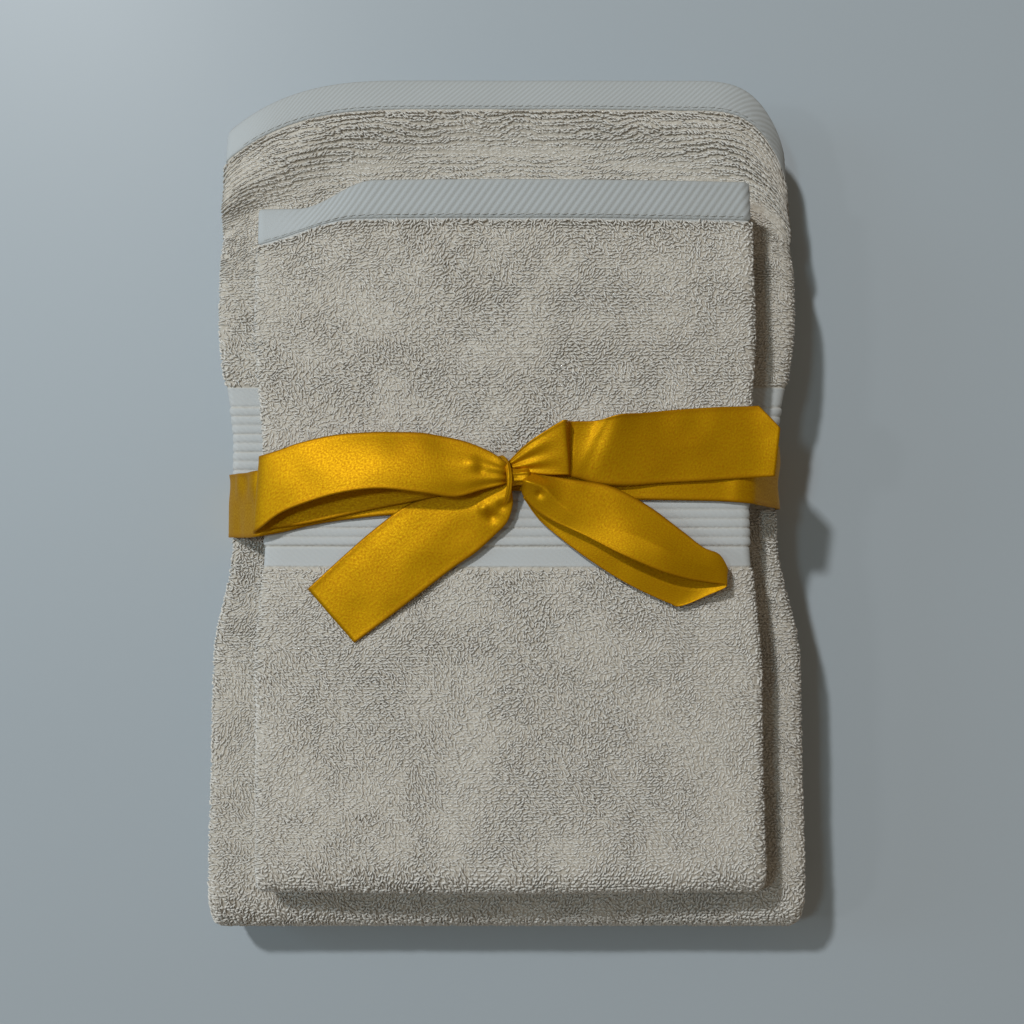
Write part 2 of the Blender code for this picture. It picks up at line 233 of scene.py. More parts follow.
def joined(solids: list[Solid]) -> Solid:
    """Several solids as one, their maps side by side."""
    count, points, tones = 0, [], []
    faces: dict[int, list[Array]] = {}
    order: dict[int, list[Array]] = {}
    for place, solid in enumerate(solids):
        start = 0
        for group in solid.faces:
            part = solid.corner_map[start : start + group.size] / (len(solids), 1)
            part = part + (place / len(solids), 0)
            start += group.size
            faces.setdefault(group.shape[1], []).append(group + count)
            order.setdefault(group.shape[1], []).append(part)
        points.append(solid.points)
        tones.append(solid.tone)
        count += len(solid.points)
    maps = [np.concatenate(order[width]) for width in order]
    groups = [np.concatenate(faces[width]) for width in order]
    return Solid(np.concatenate(points), groups, np.concatenate(maps), np.concatenate(tones))


def tube_quads(rings: int, corners: int) -> tuple[Array, Array, Array]:
    """Quads between the rings of a tube.

    Args:
        rings: Number of rings.
        corners: Points of a ring.

    Returns:
        The quads, and how far round and how far along each corner of theirs is, from 0 to 1.
    """
    row, place = np.meshgrid(np.arange(rings - 1), np.arange(corners), indexing="ij")
    after = (place + 1) % corners
    around = [(row, place), (row, after), (row + 1, after), (row + 1, place)]
    quads = np.stack([r * corners + c for r, c in around], axis=-1).reshape(-1, 4)
    across = np.stack([place, place + 1, place + 1, place], axis=-1) / corners
    along = np.stack([row, row, row + 1, row + 1], axis=-1) / (rings - 1)
    return quads, across, along


def shell(outer: Array, inner: Array) -> Solid:
    """The closed skin between two grids of points that lie face to face.

    Every row of the two grids makes a ring, the outer one forward and the inner one back, and the
    first and last rings are closed by quads between the two sides.

    Args:
        outer: Points of the outer side, rows x columns x 3.
        inner: Points of the inner side, of the same shape.

    Returns:
        The skin, turned out.
    """
    rows, columns = outer.shape[:2]
    ring = 2 * columns
    points = np.concatenate((outer, inner[:, ::-1]), axis=1).reshape(-1, 3)
    sides, across, up = tube_quads(rows, ring)
    side_map = np.stack((across, up), axis=-1).reshape(-1, 2)
    near = np.arange(columns - 1)
    far = ring - 1 - near
    last = (rows - 1) * ring
    first_cap = np.stack((near + 1, near, far, far - 1), axis=-1)
    last_cap = np.stack((near, near + 1, far - 1, far), axis=-1) + last
    cap_map = np.stack((first_cap % ring / ring, np.zeros(first_cap.shape)), axis=-1)
    last_map = np.stack((last_cap % ring / ring, np.ones(last_cap.shape)), axis=-1)
    faces = [np.concatenate((sides, first_cap, last_cap))]
    maps = np.concatenate((side_map, cap_map.reshape(-1, 2), last_map.reshape(-1, 2)))
    return Solid(points, faces, maps, np.ones(len(points))).turned_out()


def grid_normals(grid: Array) -> Array:
    """Unit normals of a grid of points: the cross product of its two directions."""
    along, across = np.gradient(grid, axis=0), np.gradient(grid, axis=1)
    normal = np.cross(along, across)
    return normal / np.maximum(np.linalg.norm(normal, axis=-1, keepdims=True), 1e-12)


def shown(name: str, data: bpy.types.ID) -> bpy.types.Object:
    """A new object in the scene."""
    thing = bpy.data.objects.new(name, data)
    bpy.context.scene.collection.objects.link(thing)
    return thing


def add_piece(name: str, solid: Solid, finish: bpy.types.Material) -> bpy.types.Object:
    """Puts a solid in the scene.

    Args:
        name: Name of the piece.
        solid: Its mesh.
        finish: Its material.

    Returns:
        The new object, smooth shaded, with its map and its tone.
    """
    mesh = bpy.data.meshes.new(name)
    corners = np.concatenate([group.ravel() for group in solid.faces])
    counts = np.concatenate([np.full(len(group), group.shape[1]) for group in solid.faces])
    mesh.vertices.add(len(solid.points))
    mesh.vertices.foreach_set("co", solid.points.astype(np.float32).ravel())
    mesh.loops.add(len(corners))
    mesh.loops.foreach_set("vertex_index", corners.astype(np.int32))
    mesh.polygons.add(len(counts))
    starts = np.concatenate(([0], np.cumsum(counts)[:-1]))
    mesh.polygons.foreach_set("loop_start", starts.astype(np.int32))
    mesh.update(calc_edges=True)
    layer = mesh.uv_layers.new(name=MAP_NAME)
    layer.data.foreach_set("uv", solid.corner_map.astype(np.float32).ravel())
    tone = mesh.attributes.new("tone", "FLOAT", "POINT")
    tone.data.foreach_set("value", solid.tone.astype(np.float32))
    mesh.shade_smooth()
    mesh.materials.append(finish)
    piece = shown(name, mesh)
    triangles = sum(len(group) * (group.shape[1] - 2) for group in solid.faces)
    LOG.info("%s: %d triangles", name, triangles)
    return piece


# ---------------------------------------------------------------------------------------- finishes


class Wire:
    """One socket of a material, with arithmetic that adds Math nodes."""

    def __init__(self, nodes: "Nodes", socket: bpy.types.NodeSocket) -> None:
        """Keeps the node tree and the socket."""
        self.nodes = nodes
        self.socket = socket

    def _math(self, operation: str, first: object, second: object) -> "Wire":
        """A Math node on two values."""
        return self.nodes.add("ShaderNodeMath", {"operation": operation}, {0: first, 1: second})

    def __add__(self, other: object) -> "Wire":
        """Sum."""
        return self._math("ADD", self, other)

    __radd__ = __add__

    def __sub__(self, other: object) -> "Wire":
        """Difference."""
        return self._math("SUBTRACT", self, other)

    def __rsub__(self, other: object) -> "Wire":
        """Difference the other way round."""
        return self._math("SUBTRACT", other, self)

    def __mul__(self, other: object) -> "Wire":
        """Product."""
        return self._math("MULTIPLY", self, other)

    __rmul__ = __mul__

class Nodes:
    """The node tree of one material."""

    def __init__(self, name: str) -> None:
        """Makes the material with only its Principled shader."""
        self.material = bpy.data.materials.new(name)
        self.material.use_nodes = True
        self.tree = self.material.node_tree
        self.shader = self.tree.nodes["Principled BSDF"]

    def add(
        self, kind: str, settings: dict, sockets: dict, output: int | str = 0
    ) -> Wire:
        """Any node.

        Args:
            kind: Its type.
            settings: Its own settings, set first.
            sockets: Values or wires of its input sockets, by index or name.
            output: Which output to return.

        Returns:
            The output as a wire.
        """
        node = self.tree.nodes.new(kind)
        for key, value in settings.items():
            setattr(node, key, value)
        for key, value in sockets.items():
            self.feed(node.inputs[key], value)
        return Wire(self, node.outputs[output])

    def feed(self, socket: bpy.types.NodeSocket, value: object) -> None:
        """Sets a socket to a value, or links a wire to it."""
        if isinstance(value, Wire):
            self.tree.links.new(value.socket, socket)
        elif isinstance(value, tuple) and socket.type == "RGBA":
            socket.default_value = (*value[:3], 1)
        else:
            socket.default_value = value

    def mix(self, factor: object, first: object, second: object) -> Wire:
        """A colour between two colours."""
        settings = {"data_type": "RGBA", "blend_type": "MIX"}
        return self.add("ShaderNodeMix", settings, {0: factor, 6: first, 7: second}, 2)

    def place(self) -> Wire:
        """Coordinates of the object itself."""
        return self.add("ShaderNodeTexCoord", {}, {}, "Object")

    def own(self, name: str) -> Wire:
        """A number that the piece's vertices hold."""
        return self.add("ShaderNodeAttribute", {"attribute_name": name}, {}, "Fac")

    def stretched(self, scale: Triple, turn: Triple = (0, 0, 0)) -> Wire:
        """Object coordinates scaled along each axis after a turn."""
        sockets = {"Vector": self.place(), "Scale": scale, "Rotation": turn}
        return self.add("ShaderNodeMapping", {"vector_type": "TEXTURE"}, sockets)

    def noise(self, where: Wire, scale: float, detail: float = 2.0) -> Wire:
        """Noise from 0 to 1."""
        sockets = {"Vector": where, "Scale": scale, "Detail": detail, "Roughness": 0.55}
        return self.add("ShaderNodeTexNoise", {}, sockets)

    def between(self, share: Wire, low: float, high: float) -> Wire:
        """A number between two numbers."""
        return self.add("ShaderNodeMapRange", {}, {"Value": share, 3: low, 4: high})

    def raised(self, height: object, strength: float, depth: float) -> Wire:
        """A Bump node."""
        return self.add(
            "ShaderNodeBump", {}, {"Height": height, "Strength": strength, "Distance": depth}
        )

    def finish(self, **sockets: object) -> bpy.types.Material:
        """Feeds the shader and returns the material; spaces in socket names are underscores."""
        for key, value in sockets.items():
            self.feed(self.shader.inputs[key.replace("_", " ")], value)
        return self.material


@dataclass(frozen=True)
class TerryLoops:
    """Yarn of the loops: darker at their roots as painted shade, each loop a little lighter or warmer.
    """

    # The root colour is painted shade at the feet of the loops, where they shade each other.
    root: Triple = (0.63, 0.57, 0.49)
    tip: Triple = (0.84, 0.815, 0.765)
    warm: Triple = (0.78, 0.72, 0.63)

    def made(self, name: str) -> bpy.types.Material:
        """Builds the material."""
        nodes = Nodes(name)
        place = nodes.place()
        patches = nodes.noise(place, 38.0, 3.0)
        speck = nodes.noise(place, 900.0, 1.0)
        yarn = nodes.noise(place, 4200.0, 2.0)
        tip = nodes.mix(patches * 0.5 + speck * 0.35, self.tip, self.warm)
        # The tone runs from root to tip, painting shade at the feet of the loops.
        colour = nodes.mix(nodes.own("tone"), self.root, tip)
        return nodes.finish(
            Base_Color=colour,
            Roughness=nodes.between(speck, 0.86, 1.0),
            Normal=nodes.raised(yarn, 0.5, 0.0002),
            Sheen_Weight=0.25,
            Sheen_Roughness=0.6,
            Specular_IOR_Level=0.15,
        )


@dataclass(frozen=True)
class TerryGround:
    """The woven ground under the loops, seen in the gaps and inside the folds, coloured darker than
    the loops as painted shade.
    """

    # Both terry colours of the ground are darker than the loops as painted shade in the gaps between
    # them; the first is the darker one.
    gap_shade: Triple = (0.50, 0.44, 0.35)
    light: Triple = (0.72, 0.67, 0.59)
    clean: Triple = (0.58, 0.595, 0.59)
    worn: Triple = (0.53, 0.52, 0.49)

    def made(self, name: str) -> bpy.types.Material:
        """Builds the material: the vertices' tone says where the cloth is flat woven, and drops in the
        border's grooves as painted shade.
        """
        nodes = Nodes(name)
        place = nodes.place()
        settings = {"feature": "F1", "distance": "EUCLIDEAN"}
        cells = nodes.add(
            "ShaderNodeTexVoronoi", settings, {"Vector": place, "Scale": 620.0}, "Distance"
        )
        fluff = nodes.noise(place, 1500.0, 3.0)
        patches = nodes.noise(place, 40.0, 2.0)
        # Tone: 1 where flat woven, lower in the border's grooves, where it paints shade.
        woven = nodes.own("tone")
        terry = nodes.mix(cells * 0.7 + fluff * 0.35, self.light, self.gap_shade)
        threads = nodes.add(
            "ShaderNodeTexWave",
            {"wave_type": "BANDS", "bands_direction": "X", "wave_profile": "SIN"},
            {"Vector": nodes.stretched((1, 1, 1), (0, 0, 0.9)), "Scale": 190.0},
            1,
        )
        flat = nodes.mix(patches * 0.4 + threads * 0.1, self.clean, self.worn)
        height = (1 - woven) * (fluff - cells) + woven * (threads * 0.22 + fluff * 0.2)
        return nodes.finish(
            Base_Color=nodes.mix(woven, terry, flat),
            Roughness=nodes.between(fluff, 0.85, 1.0),
            Normal=nodes.raised(height, 0.7, 0.0005),
            Sheen_Weight=0.2,
            Sheen_Roughness=0.6,
            Specular_IOR_Level=0.15,
        )


@dataclass(frozen=True)
class Twill:
    """Flat woven hem: whiter than the terry, with fine threads across its ribs and painted shade
    between them.
    """

    light: Triple = (0.55, 0.575, 0.58)
    # The darker colour is painted shade between the ribs, and also random mottle.
    shade_and_mottle: Triple = (0.38, 0.38, 0.355)

    def made(self, name: str) -> bpy.types.Material:
        """Builds the material: the vertices' tone is 1 on the ribs and 0 between them, where the
        darker colour paints shade.
        """
        nodes = Nodes(name)
        place = nodes.place()
        soft = nodes.noise(place, 45.0, 2.0)
        fine = nodes.noise(nodes.stretched((1, 0.35, 1), (0, 0, 0.6)), 2600.0, 2.0)
        rib = nodes.own("tone")
        colour = nodes.mix(rib * 0.8 + fine * 0.2, self.shade_and_mottle, self.light)
        colour = nodes.mix(soft * 0.2, colour, self.shade_and_mottle)
        return nodes.finish(
            Base_Color=colour,
            Roughness=nodes.between(fine, 0.8, 0.95),
            Normal=nodes.raised(fine, 0.5, 0.0002),
            Sheen_Weight=0.1,
            Specular_IOR_Level=0.25,
        )


@dataclass(frozen=True)
class Thread:
    """Sewing thread with a fine twist."""

    colour: Triple = (0.58, 0.585, 0.575)
    shaded: Triple = (0.55, 0.54, 0.5)

    def made(self, name: str) -> bpy.types.Material:
        """Builds the material."""
        nodes = Nodes(name)
        twist = nodes.noise(nodes.stretched((1, 0.3, 1), (0, 0, 0.7)), 5200.0, 2.0)
        colour = nodes.mix(twist, self.colour, self.shaded)
        return nodes.finish(
            Base_Color=colour,
            Roughness=nodes.between(twist, 0.55, 0.8),
            Normal=nodes.raised(twist, 0.5, 0.0002),
        )


@dataclass(frozen=True)
class Satin:
    """Golden satin: warp threads that shine along the ribbon, denser at its woven edges."""

    light: Triple = (0.66, 0.365, 0.001)
    deep: Triple = (0.49, 0.19, 0.0005)
    edge: Triple = (0.46, 0.19, 0.001)

    def made(self, name: str) -> bpy.types.Material:
        """Builds the material; its map runs along the ribbon, and tone is 1 on a woven edge."""
        nodes = Nodes(name)
        own_map = nodes.add("ShaderNodeUVMap", {"uv_map": CLOTH_MAP}, {})
        along, cross = (
            nodes.add(
                "ShaderNodeMapping", {"vector_type": "POINT"}, {"Vector": own_map, "Scale": scale}
            )
            for scale in ((1.0, 9.0, 1.0), (5.0, 1.0, 1.0))
        )
        grain = nodes.noise(along, 420.0, 3.0)
        weft = nodes.noise(cross, 380.0, 2.0)
        speck = nodes.noise(own_map, 1250.0, 1.0)
        soft = nodes.noise(nodes.place(), 60.0, 2.0)
        mixed = soft * 0.35 + grain * 0.25 + (speck - 0.5) * 1.6 + 0.1
        colour = nodes.mix(mixed, self.light, self.deep)
        colour = nodes.mix(nodes.own("tone"), colour, self.edge)
        rough = nodes.between(speck, 0.45, 0.68)
        return nodes.finish(
            Base_Color=colour,
            Roughness=rough,
            Metallic=0.7,
            Normal=nodes.raised(grain * 0.5 + weft * 0.5 + speck, 0.55, 0.0001),
            Specular_IOR_Level=0.2,
        )


@dataclass(frozen=True)
class TableTop:
    """A plain pale table with a soft, low gloss."""

    colour: Triple = (0.43, 0.475, 0.505)
    paler: Triple = (0.47, 0.505, 0.53)

    def made(self, name: str) -> bpy.types.Material:
        """Builds the material."""
        nodes = Nodes(name)
        cloud = nodes.noise(nodes.place(), 3.0, 3.0)
        colour = nodes.mix(cloud * 0.5, self.colour, self.paler)
        rough = nodes.between(cloud, 0.38, 0.44)
        return nodes.finish(Base_Color=colour, Roughness=rough, Specular_IOR_Level=0.3)


# ------------------------------------------------------------------------------------------ folding


class Track:
    """A path in a plane, made of straights and arcs.

    Its heading changes evenly along every piece, and its points are the running sum of short steps
    in that heading. Its normal is the heading turned a quarter to the right.
    """

    def __init__(
        self, start: tuple[float, float], heading: float, pieces: list[tuple[float, float]]
    ) -> None:
        """Works out a fine table of points.

        Args:
            start: First point.
            heading: Heading at the start, in radians.
            pieces: (length, turn) of every piece.
        """
        marks = np.concatenate(([0], np.cumsum([length for length, _ in pieces])))
        turns = heading + np.concatenate(([0], np.cumsum([turn for _, turn in pieces])))
        self.marks = marks
        self.length = float(marks[-1])
        grain = np.linspace(0, self.length, round(self.length / (0.25 * MM)))
        self.table = np.unique(np.concatenate((grain, marks)))
        self.heading = np.interp(self.table, marks, turns)
        middle = (self.heading[1:] + self.heading[:-1]) / 2
        step = np.diff(self.table)[:, None] * np.column_stack((np.cos(middle), np.sin(middle)))
        self.points = np.array(start) + np.concatenate(([(0, 0)], np.cumsum(step, axis=0)))

    def at(self, distance: Array) -> tuple[Array, Array, Array, Array]:
        """Point and normal at a distance along the path.

        Args:
            distance: Distances of any shape.

        Returns:
            First and second coordinate of the point, then of the normal.
        """
        first = np.interp(distance, self.table, self.points[:, 0])
        second = np.interp(distance, self.table, self.points[:, 1])
        heading = np.interp(distance, self.table, self.heading)
        return first, second, np.sin(heading), -np.cos(heading)


@dataclass
class Patch:
    """Terry loops of one part of a towel.

    Attributes:
        name: Name of the piece, with a number after it.
        body: Body that it belongs to; only the bundle's pieces are attached to their body.
        keep: Says which loops it has, from their place, outward direction, along and across.
        spacing: Distance between loops.
        pieces: How many pieces it is split into.
    """

    name: str
    body: Body
    keep: Callable[[Array, Array, Array, Array], Array]
    spacing: float
    pieces: int


@dataclass
class FoldedTowel:
    """A towel folded in three across its width, and then along its length.

    Flat positions are along, from the upper hem, across, from one long edge, and rise, out from
    the middle of the cloth on the side that ends up outside.

    Attributes:
        name: Name of the cloth's own piece.
        slot: Material slot; not used.
        side: Path of the ply seen from the side, in y and z.
        ply: Thickness of the ply, three layers of cloth.
        cloth: Thickness of the cloth without its loops.
        at_fold: Width of the folded towel at its folded end.
        at_hem: Width at its hem end.
        waist: Width under the ribbon.
        y_fold: Where the folded end is.
        y_hem: Where the hem end is.
        flaps: Widths of the two flaps.
        hem: Depth of the hem.
        border: Start and end of the woven border, from the hem's edge.
        cords: Number of cords in the border.
        ribs: Distance between the hem's ribs, and their run across for each unit along.
        crown: Share of its height that the towel loses at its sides.
        base: Height of its underside.
        seed: Seed of its noise and its loops.
        plain: Width of the border's plain bands.
        half: Half of its mean width.
        section: Path across its width.
    """

    name: str
    slot: Slot
    side: Track
    ply: float
    cloth: float
    at_fold: float
    at_hem: float
    waist: float
    y_fold: float
    y_hem: float
    flaps: tuple[float, float]
    hem: float
    border: tuple[float, float]
    cords: int
    ribs: tuple[float, float]
    crown: float = 0.0
    base: float = 0.0
    seed: int = 1
    plain: float = 8 * MM
    half: float = field(init=False)
    section: Track = field(init=False)

    def __post_init__(self) -> None:
        """Works out the path across the width: flap, round the right side, centre, left side, flap."""
        self.half = (self.at_fold + self.at_hem) / 4
        self.pitch = (self.ply - 2 * INSET - self.cloth) / 2
        wide, narrow = self.pitch, self.pitch / 2
        right = self.half - self.cloth / 2 - wide
        left = -self.half + self.cloth / 2 + narrow
        inner, outer = self.flaps
        self.section = Track(
            (right - inner, -self.pitch),
            0.0,
            [
                (inner, 0.0),
                (math.pi * wide, math.pi),
                (right - left, 0.0),
                (math.pi * narrow, math.pi),
                (outer, 0.0),
            ],
        )

    def half_width(self, y: Array) -> Array:
        """Half of the width at y: straight sides, drawn in to the waist under the ribbon."""
        share = np.clip((y - self.y_fold) / (self.y_hem - self.y_fold), 0, 1)
        full = self.at_fold + (self.at_hem - self.at_fold) * share
        away = eased((np.abs(y - RIBBON.y) - RIBBON.reach) / RIBBON.ease)
        return (self.waist + (full - self.waist) * away) / 2

    def soften(self, points: Array) -> Array:
        """Small slumps of the soft cloth; each towel has its own."""
        return points

    def fold(self, along: Array, across: Array, rise: Array) -> Array:
        """Folds flat positions: first across the width, then along the length.

        The path across gives x and the height in the ply, the path along carries that height on
        its normal, the width is scaled to the towel's at that y, and a crowned towel loses height
        with the square of the width's share.

        Args:
            along: Distance from the upper hem's edge.
            across: Distance from the first long edge.
            rise: Distance out from the middle of the cloth.

        Returns:
            Points with a last axis of 3.
        """
        along, across, rise = np.broadcast_arrays(along, across, rise)
        x, height, x_out, height_out = self.section.at(across)
        x, height = x + rise * x_out, height + rise * height_out
        y, z, y_out, z_out = self.side.at(along)
        y, z = y + height * y_out, z + height * z_out
        half = self.half_width(y)
        x = x * (half - INSET) / self.half
        z = self.base + (z - self.base) * (1 - self.crown * np.clip(x / half, -1, 1) ** 2)
        return self.soften(np.stack((x, y, z), axis=-1))

    def thickness(self, along: Array) -> Array:
        """Thickness of the cloth: thinner in the hems and in the border."""
        room = np.minimum(along, self.side.length - along)
        hem = 0.3 + 0.7 * eased((room - self.hem) / (5 * MM))
        low, high = self.border
        inside = eased((along - low) / (1.5 * MM)) * eased((high - along) / (1.5 * MM))
        return self.cloth * hem * (1 - 0.2 * inside)

    def relief(self, along: Array) -> Array:
        """Height of the border's cords, and of the grooves beside and between them."""
        return 0.62 * MM * self.cord(along) - 0.4 * MM * self.lines(along)

    @property
    def corded(self) -> tuple[float, float]:
        """Start and end of the cords, between the border's two plain bands."""
        return self.border[0] + self.plain, self.border[1] - self.plain

    def cord(self, along: Array) -> Array:
        """Half circles side by side between the border's two plain bands, from 0 to 1."""
        first, last = self.corded
        share = np.clip((along - first) / (last - first), 0, 1) * self.cords
        arch = np.sqrt(np.maximum(0, 1 - (2 * (share % 1) - 1) ** 2))
        return arch * ((along > first) & (along < last))

    def lines(self, along: Array) -> Array:
        """Bells of height 1 on the four edges of the plain bands."""
        first, last = self.corded
        edges = (self.border[0], first, last, self.border[1])
        return sum(bump(along, edge, 0.45 * MM) for edge in edges)

    def grooves(self, along: Array) -> Array:
        """How deep in a groove of the border a place is, from 0 to 1; the cloth's tone takes it as
        painted shade.
        """
        first, last = self.corded
        between = (1 - self.cord(along)) ** 1.5 * ((along > first) & (along < last))
        return np.clip(between + 0.8 * self.lines(along), 0, 1)

    def woven(self, along: Array) -> Array:
        """1 where the cloth is flat woven, 0 where it is terry."""
        low, high = self.border
        border = eased((along - low) / (0.6 * MM)) * eased((high - along) / (0.6 * MM))
        return np.maximum(border, (along < self.hem) * 1.0)

    def cloth_solid(self, start: float, end: float) -> Solid:
        """The cloth from start to end along the towel, with its cords in relief and painted shade in
        the grooves.
        """
        marks, turns = self.side.marks, self.section.marks
        fine = [(self.border[0] - 1 * MM, self.border[1] + 1 * MM, 0.42 * MM)]
        fine += [(0, self.hem + 6 * MM, 1.5 * MM)]
        fine += [
            (marks[place], marks[place + 1], (marks[place + 1] - marks[place]) / 14)
            for place in range(1, len(marks) - 1, 2)
        ]
        along = stops(start, end, 6 * MM, tuple(fine))
        fine = [(turns[place], turns[place + 1], 0.9 * MM) for place in (1, 3)]
        across = stops(0, self.section.length, 6 * MM, tuple(fine))
        rows, columns = along[:, None], across[None, :]
        half = self.thickness(rows) / 2
        soft = 0.25 * MM * smooth_noise(rows, columns, 11 * MM, self.seed + 5)
        outer = self.fold(rows, columns, half + self.relief(rows) + soft * (1 - self.woven(rows)))
        inner = self.fold(rows, columns, -half)
        solid = shell(outer, inner)
        # The grooves lower the tone, which paints shade between the cords.
        flat = self.woven(along) * (1 - 0.6 * self.grooves(along))
        solid.tone = np.repeat(flat[:, None], 2 * len(across), axis=1).ravel()
        return solid

    def hem_solid(self, at_far_end: bool, step: float) -> Solid:
        """A turned hem with slanting ribs on both sides.

        Its section is a flat bar with rounded edges, and the ribs are a rounded wave of across and
        along together, so they slant.

        Args:
            at_far_end: Whether it is the hem at the far end of the towel.
            step: Distance between grid lines on the centre panel.

        Returns:
            The hem, with tone 1 on the ribs, lower between them and towards its rounded edges, where
            the twill paints shade.
        """
        turns = self.section.marks
        zones = tuple((turns[place], turns[place + 1], step) for place in (1, 2, 3))
        across = stops(0, self.section.length, 5 * MM, zones)[:, None]
        depth = np.linspace(0, self.hem, 27)[None, :]
        edge = np.maximum(0, 1 - np.abs(2 * depth / self.hem - 1) ** 7) ** 0.5
        pitch, slope = self.ribs
        rib = 0.5 + 0.5 * np.sin(2 * np.pi * (across - slope * depth) / pitch)
        clear = eased((turns[3] - across) / (26 * MM))
        wave = 1 - (1 - rib) ** 2 * clear
        rise = (0.12 + 0.88 * edge) * 0.95 * MM + 0.3 * MM * (wave - 0.5) * edge
        along = self.side.length - depth if at_far_end else depth
        outer = self.fold(along, across, rise)
        inner = self.fold(along, across, -rise)
        solid = shell(outer, inner)
        # Tone: the ribs' wave times the edge profile, low where the twill paints shade.
        both = np.concatenate((wave * edge, (wave * edge)[:, ::-1]), axis=1)
        solid.tone = both.ravel()
        return solid

    def yarn(
        self,
        along: Array,
        across: Array,
        lift: Array,
        angle: Array,
        length: Array,
        height: Array,
        radius: Array,
        bend: Array,
        rings: int,
        sides: int,
    ) -> Solid:
        """Short arches of yarn on the cloth, planted flat and then folded with it.

        The middle line of each runs its length in the direction of its angle, rises as one minus t
        squared, and bows sideways the same way. Its rings are perpendicular to that line.

        Args:
            along: Distance of each along the towel.
            across: Distance of each across it.
            lift: Height of its feet over the middle of the cloth.
            angle: Direction from the across direction, in radians.
            length: Length on the cloth.
            height: Height of the arch.
            radius: Radius of the yarn.
            bend: Sideways bow.
            rings: Points along each.
            sides: Corners of its section.

        Returns:
            All of them as one solid, with tone rising from root to tip, which the loops' finish reads
            as painted shade at the roots.
        """
        t = np.linspace(-1, 1, rings)[None, :, None]
        turn = (np.arange(sides) / sides * 2 * np.pi + np.pi / 2)[None, None, :]
        spread = [value[:, None, None] for value in (along, across, lift, angle, length)]
        along, across, lift, angle, length = spread
        height, radius, bend = (value[:, None, None] for value in (height, radius, bend))
        ahead_along, ahead_across = np.sin(angle), np.cos(angle)
        side_along, side_across = np.cos(angle), -np.sin(angle)
        arch = 1 - t * t
        run = t * length / 2
        climb = -2 * t * height / (length / 2)
        lean = 1 / np.sqrt(1 + climb * climb)
        out, sideways = radius * np.sin(turn), radius * np.cos(turn) + bend * arch
        run = run - out * climb * lean
        rise = lift + height * arch + out * lean
        flat_along = along + run * ahead_along + sideways * side_along
        flat_across = across + run * ahead_across + sideways * side_across
        points = self.fold(flat_along, flat_across, rise).reshape(-1, 3)
        count = len(along)
        quads, around, onward = tube_quads(rings, sides)
        quad_map = np.stack((onward, around), axis=-1).reshape(-1, 2)
        first = np.arange(sides)[::-1]
        caps = np.stack((first, first[::-1] + (rings - 1) * sides))
        cap_map = np.stack(
            (np.repeat([[0.0], [1.0]], sides, axis=1), np.tile(first / sides, (2, 1))), axis=-1
        ).reshape(-1, 2)
        shift = (np.arange(count) * rings * sides)[:, None, None]
        side = math.ceil(math.sqrt(count))
        cell = np.stack((np.arange(count) % side, np.arange(count) // side), axis=-1)[:, None, :]
        maps = [
            ((cell + 0.1 + 0.8 * part[None]) / side).reshape(-1, 2) for part in (quad_map, cap_map)
        ]
        faces = [(quads[None] + shift).reshape(-1, 4), (caps[None] + shift).reshape(-1, sides)]
        if sides == 4:
            faces = [np.concatenate(faces)]
        # Tone 0 at the feet and 1 at the top of each arch, for painted shade at the feet.
        tone = np.broadcast_to(arch, (count, rings, sides)).ravel()
        return Solid(points, faces, np.concatenate(maps), tone).turned_out()

    def terry(self, patch: Patch, rng: np.random.Generator) -> list[Solid]:
        """Loops of one patch: a shaken square lattice, turned in patches or lying in rows.

        Args:
            patch: What to plant.
            rng: Source of random numbers.

        Returns:
            A solid for each of its pieces.
        """
        space = patch.spacing
        along = np.arange(self.hem + 1 * MM, self.side.length - self.hem, space)
        across = np.arange(1 * MM, self.section.length - 1 * MM, space)
        along, across = (grid.ravel() for grid in np.meshgrid(along, across, indexing="ij"))
        rowing = self.rowing(along, across)
        row, sway_height, sway_cell, snap = 2.6 * MM, 2.2 * MM, 10 * MM, 0.42
        sway = along + sway_height * smooth_noise(across, along, sway_cell, self.seed + 4)
        along = along + (np.round(sway / row) * row - sway) * snap * eased(4 * rowing - 3)
        shake = 0.36 * space
        along = along + rng.uniform(-shake, shake, along.shape) * (1 - 0.75 * rowing)
        across = across + rng.uniform(-shake, shake, along.shape)
        points = self.fold(along, across, np.full(along.shape, self.cloth / 2))
        low = self.fold(along, across, np.zeros(along.shape))
        out = points - low
        out /= np.linalg.norm(out, axis=-1, keepdims=True)
        keep = patch.keep(points, out, along, across)
        margin = 0.7 * MM
        keep &= (along < self.border[0] - margin) | (along > self.border[1] + margin)
        along, across, rowing = along[keep], across[keep], rowing[keep]
        count = len(along)
        drift = 1.6 * smooth_noise(along, across, 9 * MM, self.seed + 1)
        drift = drift + 0.9 * smooth_noise(along, across, 3.5 * MM, self.seed + 2)
        angle = (drift + rng.normal(0, 0.7, count)) * (1 - 0.68 * rowing)
        length = rng.uniform(1.25, 2.1, count) * MM
        height = rng.uniform(0.38, 0.72, count) * MM
        radius = rng.uniform(0.36, 0.47, count) * MM
        bend = rng.uniform(-0.35, 0.35, count) * MM
        lift = self.cloth / 2 - 0.1 * MM + rng.uniform(-0.15, 0.15, count) * MM
        shade = rng.uniform(0.8, 1.0, count)
        solids = []
        for part in np.array_split(np.arange(count), patch.pieces):
            values = [v[part] for v in (along, across, lift, angle, length, height, radius, bend)]
            solid = self.yarn(*values, LOOP_RINGS, LOOP_SIDES)
            per_loop = len(solid.points) // len(part)
            solid.tone = solid.tone**0.8 * np.repeat(shade[part], per_loop)
            solids.append(solid)
        return solids

